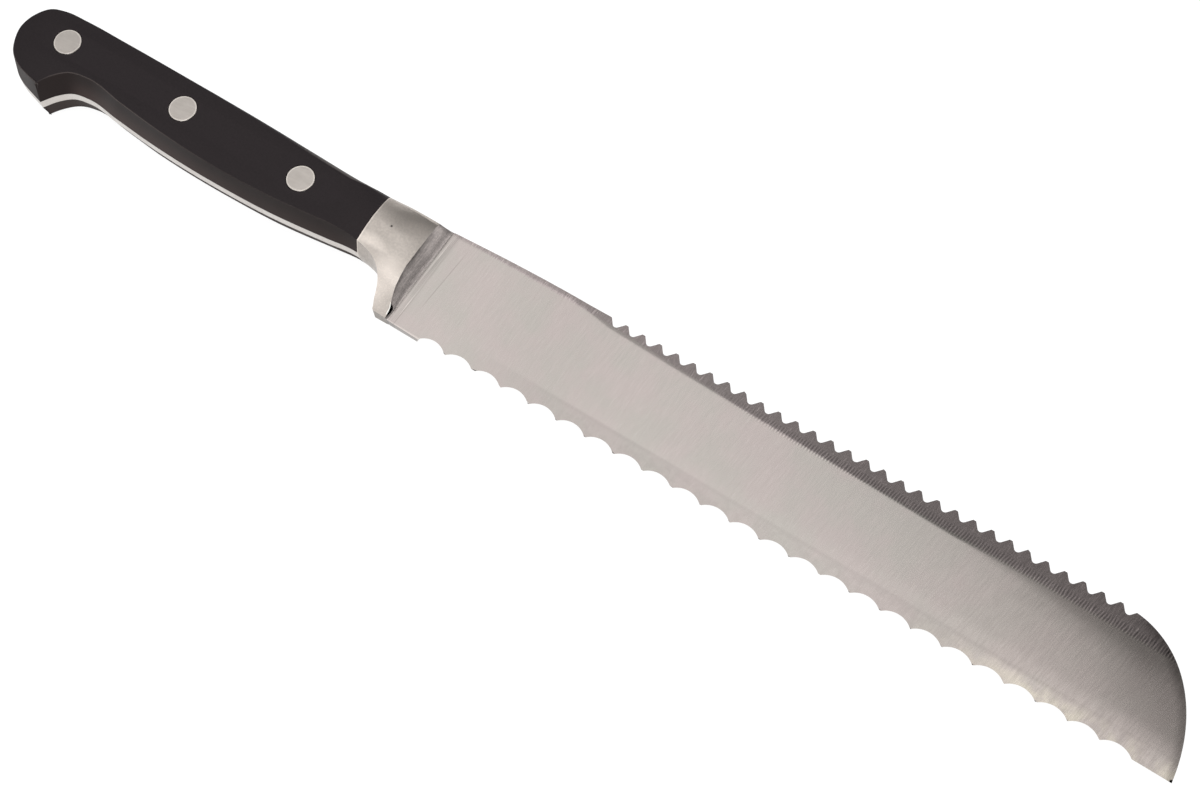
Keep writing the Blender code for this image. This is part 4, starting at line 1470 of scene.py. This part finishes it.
finish_shader(tree, shader, color, rough, lines["Lines"], depth=0.00000005)
shader.inputs["Anisotropic"].default_value = STRETCHED
along_blade = place_node(tree, "ShaderNodeCombineXYZ", {"X": 1.0})["Vector"]
tree.links.new(along_blade, shader.inputs["Tangent"])

# %% [markdown]
# ## Scallop steel
#
# The scallops on the far side come straight from the wheel. They are brighter than the faces and
# carry coarser lines that run up each facet.

# %% Scallop finish
SCALLOP_PALE = (0.64, 0.60, 0.56, 1)
SCALLOP_DEEP = (0.55, 0.52, 0.48, 1)

scallop_steel, tree, shader, *_ = new_finish("ground_scallop_steel")
lines = grinding_lines(tree, per_metre=4200.0, stretch=9.0)
tint = clouding(tree, patch=0.004, softness=0.2, a=SCALLOP_PALE, b=SCALLOP_DEEP)
dark, light = product(tree, lines["Lines"], 0.26), product(tree, lines["Scratches"], 0.2)
color = toned(tree, tint["Colour"], dark, light)
rough = scaled(tree, lines["Lines"], by=0.08, plus=0.18)
finish_shader(tree, shader, color, rough, lines["Lines"], depth=0.000002)

# %% [markdown]
# ## Bolster steel
#
# The bolster's body is polished to a soft satin with hardly a line on it, and it has one small
# pit, as forgings often have. Its light and shade are partly painted: a highlight along the edge
# where it meets the scales, shade on the belly with a highlight along its border, shade on the upper
# side, across the middle height and under the heel, and light low down by the crest, where real
# pale flecks show too. At the heel the crest ends in a painted highlight, a bright sliver.

# %% Bolster places
BOLSTER_PALE = (0.605, 0.548, 0.500, 1)
BOLSTER_DEEP = (0.565, 0.512, 0.467, 1)
PIT = (-0.0121, 0.0209)
PIT_RADIUS = 0.00036

bolster_steel, tree, shader, at, facing = new_finish("satin_bolster_steel")
x, y = at["X"], at["Y"]
tint = clouding(tree, patch=0.006, softness=0.2, a=BOLSTER_PALE, b=BOLSTER_DEEP)
grain = clouding(tree, patch=0.0006, softness=0.15)["Clouds"]
lines = grinding_lines(tree, per_metre=2600.0, stretch=3.0, slant=math.radians(2))
pit = spot(tree, at, *PIT, PIT_RADIUS)
# Painted shade under the heel.
heel_underside_shade = product(tree, rise(tree, facing["Y"], -0.7, -0.95), rise(tree, y, 0.0030, 0.0010))
# Painted shade across the middle height, ahead of the joint.
at_middle = strip(tree, y, 0.0165, 0.0225, 0.0022)
mid_height_shade = product(tree, at_middle, rise(tree, x, -0.0165, -0.0110))
print("nodes with the pit and the heel:", len(tree.nodes))

# %% Painted light and pale flecks by the crest
upper_side = rise(tree, facing["Z"], 0.2, 0.6)
lower_half = strip(tree, y, 0.0080, 0.0135, 0.0035)
# Painted light low down by the crest.
painted_crest_light = product(tree, rise(tree, x, -0.0140, -0.0060), lower_half, upper_side)
pale_flecks = product(tree, rise(tree, grain, 0.70, 0.95), rise(tree, y, 0.0150, 0.0100), upper_side)
# A painted highlight: the bright sliver where the crest ends at the heel.
crest_low = scaled(tree, y, by=0.1, plus=0.00024)
crest_high = scaled(tree, y, by=0.445, plus=-0.00080)
before_crest = calculate(tree, "ADD", x, calculate(tree, "MAXIMUM", crest_low, crest_high))
sliver_run = strip(tree, y, 0.0012, 0.0044, 0.0003)
crest_sliver_highlight = product(tree, strip(tree, before_crest, -0.00024, 0.0002, 0.0001), sliver_run)
print("nodes with the crest:", len(tree.nodes))

# %% Bolster tones
dark = layers(
    tree,
    (lines["Lines"], 0.04),
    (grain, 0.09),
    (pit, 0.85),
    # Painted shade on the belly, which faces down.
    (rise(tree, facing["Y"], -0.45, -0.75), 0.30),
    (heel_underside_shade, 0.22),
    (mid_height_shade, 0.08),
    # Painted shade on the upper side, which faces the spine.
    (rise(tree, facing["Y"], 0.35, 0.75), 0.22),
)
light = layers(
    tree,
    # A painted highlight along the edge where the bolster meets the scales.
    (rise(tree, x, JOINT + 0.00045, JOINT + 0.00015), 0.35),
    # A painted highlight along the belly's border.
    (strip(tree, facing["Y"], -0.62, -0.25, 0.08), 0.55),
    (painted_crest_light, 0.55),
    (pale_flecks, 0.18),
    (crest_sliver_highlight, 1.0),
)
color = toned(tree, tint["Colour"], dark, light)
rough = scaled(tree, grain, by=0.06, plus=0.34)
height = layers(tree, (grain, 0.1), (pit, -20.0))
finish_shader(tree, shader, color, rough, height, depth=0.000003)

# %% [markdown]
# ## Slope steel
#
# The hollow slope in front of the crest can't be reached by the polishing wheel. It keeps the
# coarse upright grain of the belt. Painted shade gives a dark line just under the crest, a darker
# lower part and a dark notch at the heel, and a faint line along the foot is partly grime and partly
# painted shade. It gets a finish of its own, so that its border with the satin body is as crisp as
# the crest.

# %% Slope finish
SLOPE_PALE = (0.585, 0.527, 0.502, 1)
SLOPE_DEEP = (0.515, 0.462, 0.442, 1)

slope_steel, tree, shader, at, facing = new_finish("ground_slope_steel")
x, y = at["X"], at["Y"]
lines = grinding_lines(tree, per_metre=4600.0, stretch=30.0, slant=math.radians(2), fineness=1.0)
tint = clouding(tree, patch=0.003, softness=0.2, a=SLOPE_PALE, b=SLOPE_DEEP)
speckle = clouding(tree, patch=0.0005, softness=0.15)["Clouds"]
# Painted shade in a dark line just under the crest.
under_crest_shade = rise(tree, facing["X"], 0.700, 0.745)
# A faint line along the foot: partly grime, partly painted shade in the corner.
foot_grime_and_shade = strip(tree, x, -0.0013, -0.0004, 0.0002)
# Painted shade in the dark notch at the heel, where a small gap meets the blade.
notch = product(tree, rise(tree, facing["X"], 0.58, 0.68), strip(tree, y, 0.0008, 0.0040, 0.0004))
dark = layers(
    tree,
    (lines["Lines"], 0.16),
    (speckle, 0.18),
    (under_crest_shade, 0.28),
    (foot_grime_and_shade, 0.04),
    # Painted shade, darker towards the bottom of the slope.
    (rise(tree, y, 0.0250, 0.0110), 0.16),
    (notch, 0.9),
)
color = toned(tree, tint["Colour"], dark, product(tree, lines["Scratches"], 0.30))
rough = scaled(tree, lines["Lines"], by=0.08, plus=0.30)
finish_shader(tree, shader, color, rough, lines["Lines"], depth=0.0000003)

# %% [markdown]
# ## Tang steel
#
# Between the scales only the narrow edge of the tang shows. It is brushed along its length together
# with the plastic, so its lines run the other way from the blade's.

# %% Tang finish
TANG_PALE = (0.60, 0.57, 0.54, 1)
TANG_DEEP = (0.54, 0.50, 0.47, 1)

tang_steel, tree, shader, *_ = new_finish("brushed_tang_steel")
lines = grinding_lines(tree, per_metre=1500.0, stretch=0.08, fineness=3.0)
tint = clouding(tree, patch=0.004, softness=0.2, a=TANG_PALE, b=TANG_DEEP)
color = toned(tree, tint["Colour"], product(tree, lines["Lines"], 0.12))
rough = scaled(tree, lines["Lines"], by=0.08, plus=0.28)
finish_shader(tree, shader, color, rough, lines["Lines"], depth=0.000001)

# %% [markdown]
# ## Handle plastic
#
# The scales are black plastic with a slight brown in it, satin all over. Low on the belly, round
# the back of the hook and on the lower scale's sides the grinding was coarser and the plastic is
# duller; it is also paler there, partly from painted reflection of the floor. A thin painted
# highlight follows the belly's edge, and a painted highlight lies on the rounded back just behind
# the bolster.
#
# Pure black would look like a hole in the picture. A very dark brown with a little shine reads as
# plastic.

# %% Plastic
PLASTIC_DARK = (0.0153, 0.0128, 0.0141, 1)
PLASTIC_LIGHT = (0.0178, 0.0147, 0.0161, 1)
PLASTIC_BROWN = (0.0152, 0.0110, 0.0104, 1)
PLASTIC_RUBBED_SHEEN = (0.046, 0.030, 0.027, 1)
PLASTIC_BACK_HIGHLIGHT = (0.075, 0.066, 0.063, 1)
PLASTIC_EDGE_HIGHLIGHT = (0.170, 0.145, 0.135, 1)
DUST = (0.05, 0.045, 0.042, 1)
SHINE = 0.16
SHINE_TINT = (1.0, 0.86, 0.84, 1)

handle_plastic, tree, shader, at, facing = new_finish("black_handle_plastic", 0)
shader.inputs["Specular IOR Level"].default_value = SHINE
shader.inputs["Specular Tint"].default_value = SHINE_TINT
x, y = at["X"], at["Y"]
texture = clouding(tree, patch=0.0006, softness=0.2, a=PLASTIC_LIGHT, b=PLASTIC_DARK)
dull = clouding(tree, patch=0.015, softness=0.2)["Clouds"]
dust = specks(tree, spacing=0.005, size=0.03, share=0.3)

# %% Where the plastic is rubbed, and pale with painted reflection
belly_side = rise(tree, facing["Y"], -0.60, -0.85)
off_middle = calculate(tree, "ABSOLUTE", at["Z"])
past_hook = rise(tree, x, HOOK + 0.003, HOOK + 0.010)
along_belly = product(tree, past_hook, rise(tree, x, -0.085, -0.045, 1.0, 0.5))
low_belly = product(tree, belly_side, rise(tree, off_middle, 0.0068, 0.0016), along_belly)
hook_back = product(tree, rise(tree, facing["X"], -0.15, -0.6), rise(tree, y, 0.017, 0.008))
off_flat = rise(tree, calculate(tree, "ABSOLUTE", facing["Z"]), 0.80, 0.55)
off_cheek = product(tree, off_flat, rise(tree, facing["Y"], 0.2, -0.1))
under_side = product(tree, off_cheek, rise(tree, at["Z"], 0.0, -0.001))
# Rubbed places are rougher; their paler colour is partly painted reflection of the floor.
rubbed_sheen_parts = ((low_belly, 0.8), (hook_back, 0.35), (under_side, 0.50))
rubbed_and_sheen = chain(tree, "MAXIMUM", *(product(tree, *part) for part in rubbed_sheen_parts))
print("rubbed places:", len(rubbed_sheen_parts))

# %% Edges of the plastic
# A painted highlight along the belly's edge.
belly_edge_highlight = product(
    tree,
    strip(tree, facing["Z"], 0.55, 0.90, 0.06),
    rise(tree, facing["Y"], -0.2, -0.4),
    rise(tree, x, -0.060, -0.095, 0.35, 1.0),
)
# A painted highlight on the rounded back just behind the bolster.
back_round_highlight = product(
    tree,
    strip(tree, facing["Y"], 0.32, 0.85, 0.08),
    rise(tree, x, -0.052, -0.036),
    rise(tree, x, -0.0180, -0.0270, 0.3, 1.0),
)
print("nodes with the edges:", len(tree.nodes))

# %% Plastic layers
color = texture["Colour"]
for mask, strength, layer in (
    (off_cheek, 1.0, PLASTIC_BROWN),
    (rubbed_and_sheen, 1.0, PLASTIC_RUBBED_SHEEN),
    (back_round_highlight, 0.8, PLASTIC_BACK_HIGHLIGHT),
    (belly_edge_highlight, 0.45, PLASTIC_EDGE_HIGHLIGHT),
    (dust, 0.25, DUST),
):
    color = blend_colors(tree, product(tree, mask, strength), color, layer)
rough = layers(
    tree,
    (scaled(tree, dull, by=0.06, plus=0.36),),
    (under_side, 0.30),
    (hook_back, 0.30),
    (belly_side, rise(tree, x, -0.090, -0.060), 0.14),
)
finish_shader(tree, shader, color, rough, texture["Clouds"], depth=0.000004)

# %% [markdown]
# ## Rivet steel
#
# The rivets were ground flush with the scales by a fine belt that ran along the handle. Their steel
# is a little warmer than the blade's, and a painted highlight gives a bright ring just inside the
# rim of each head.

# %% Rivet finish
RIVET_PALE = (0.585, 0.54, 0.50, 1)
RIVET_DEEP = (0.55, 0.505, 0.465, 1)

rivet_steel, tree, shader, at, _ = new_finish("polished_rivet_steel")
lines = grinding_lines(
    tree, per_metre=1600.0, stretch=10.0, slant=math.radians(80), fineness=3.0
)
tint = clouding(tree, patch=0.003, softness=0.2, a=RIVET_PALE, b=RIVET_DEEP)
nearest = chain(tree, "MINIMUM", *(away_from(tree, at, *place[:2]) for place in RIVETS.values()))
# A painted highlight: a bright ring just inside the rim of each head.
rim = rise(tree, nearest, RIVET_RADIUS - 0.00045, RIVET_RADIUS - 0.00025)
color = toned(tree, tint["Colour"], product(tree, lines["Lines"], 0.03), product(tree, rim, 0.40))
rough = scaled(tree, lines["Lines"], by=0.08, plus=0.28)
finish_shader(tree, shader, color, rough, lines["Lines"], depth=0.0000004)

# %% [markdown]
# ## Which finish goes where
#
# The forging is one solid with five finishes. Their borders follow the real tool marks: the foot of
# the slope, the crest, the joint with the scales and the rims of the scallops. So each face is
# asked where it lies, and which way it looks.

# %% Steel finishes by face
BLADE_FROM = 0.0002
SCALLOP_TOP = 0.0065
FLAT_ENOUGH = 0.97
FACET_TURN = 0.3
SLOPE_TURN = 0.05
STEELS = (blade_steel, bolster_steel, tang_steel, slope_steel, scallop_steel)
crest_line = [(height, CREST * back_share) for height, _, _, back_share in bolster_rows]


def steel_for(face):
    x, y, _ = face.center
    if x > BLADE_FROM:
        scalloped = y < SCALLOP_TOP and -FLAT_ENOUGH < face.normal.z < -FACET_TURN
        return scallop_steel if scalloped else blade_steel
    if x > value_on(crest_line, y) and face.normal.x > SLOPE_TURN:
        return slope_steel
    return bolster_steel if x > JOINT else tang_steel


forging.data.materials.clear()
for steel in STEELS:
    forging.data.materials.append(steel)
counts = dict.fromkeys((steel.name for steel in STEELS), 0)
for face in forging.data.polygons:
    steel = steel_for(face)
    face.material_index = STEELS.index(steel)
    counts[steel.name] += 1
print("faces by finish:", counts)

# %% [markdown]
# ## Handing the pieces over
#
# Cutting leaves some doubled points, which would show as creases, so they are merged. Faces are
# shaded smooth, and only real edges stay sharp.
#
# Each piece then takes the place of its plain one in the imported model. The shapes that were only
# tools go away.

# %% Finished pieces
MERGE_WITHIN = 0.000002
SHARP_FROM = math.radians(18)

for scale in scales.values():
    scale.data.materials.clear()
    scale.data.materials.append(handle_plastic)
for rivet in rivets.values():
    rivet.data.materials.append(rivet_steel)
slots = {
    "forged_blade": "blade_steel",
    **dict.fromkeys(scales, "handle_plastic"),
    **dict.fromkeys(rivets, "rivet_steel"),
}
pieces = {"forged_blade": forging, **scales, **rivets}
for node, piece in pieces.items():
    body = bmesh.new()
    body.from_mesh(piece.data)
    bmesh.ops.remove_doubles(body, verts=body.verts, dist=MERGE_WITHIN)
    body.to_mesh(piece.data)
    body.free()
    piece.data.shade_smooth()
    piece.data.set_sharp_from_angle(angle=SHARP_FROM)
    piece.location = start_point
    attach(piece, "root")
    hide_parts(node)
    print(piece.name, "stands for", node, "with", len(piece.data.vertices), "points")

# %% Tools away
kept = {piece.name for piece in pieces.values()} | {"floor"} | set(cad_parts)
meshes = [made for made in bpy.context.scene.objects if made.type == "MESH"]
tools = [made for made in meshes if made.name not in kept]
print("tools put away:", len(tools))
for made in tools:
    bpy.data.objects.remove(made)

# %% [markdown]
# ## The last measure
#
# Both boxes are written down.

# %% Sizes
bpy.context.view_layer.update()
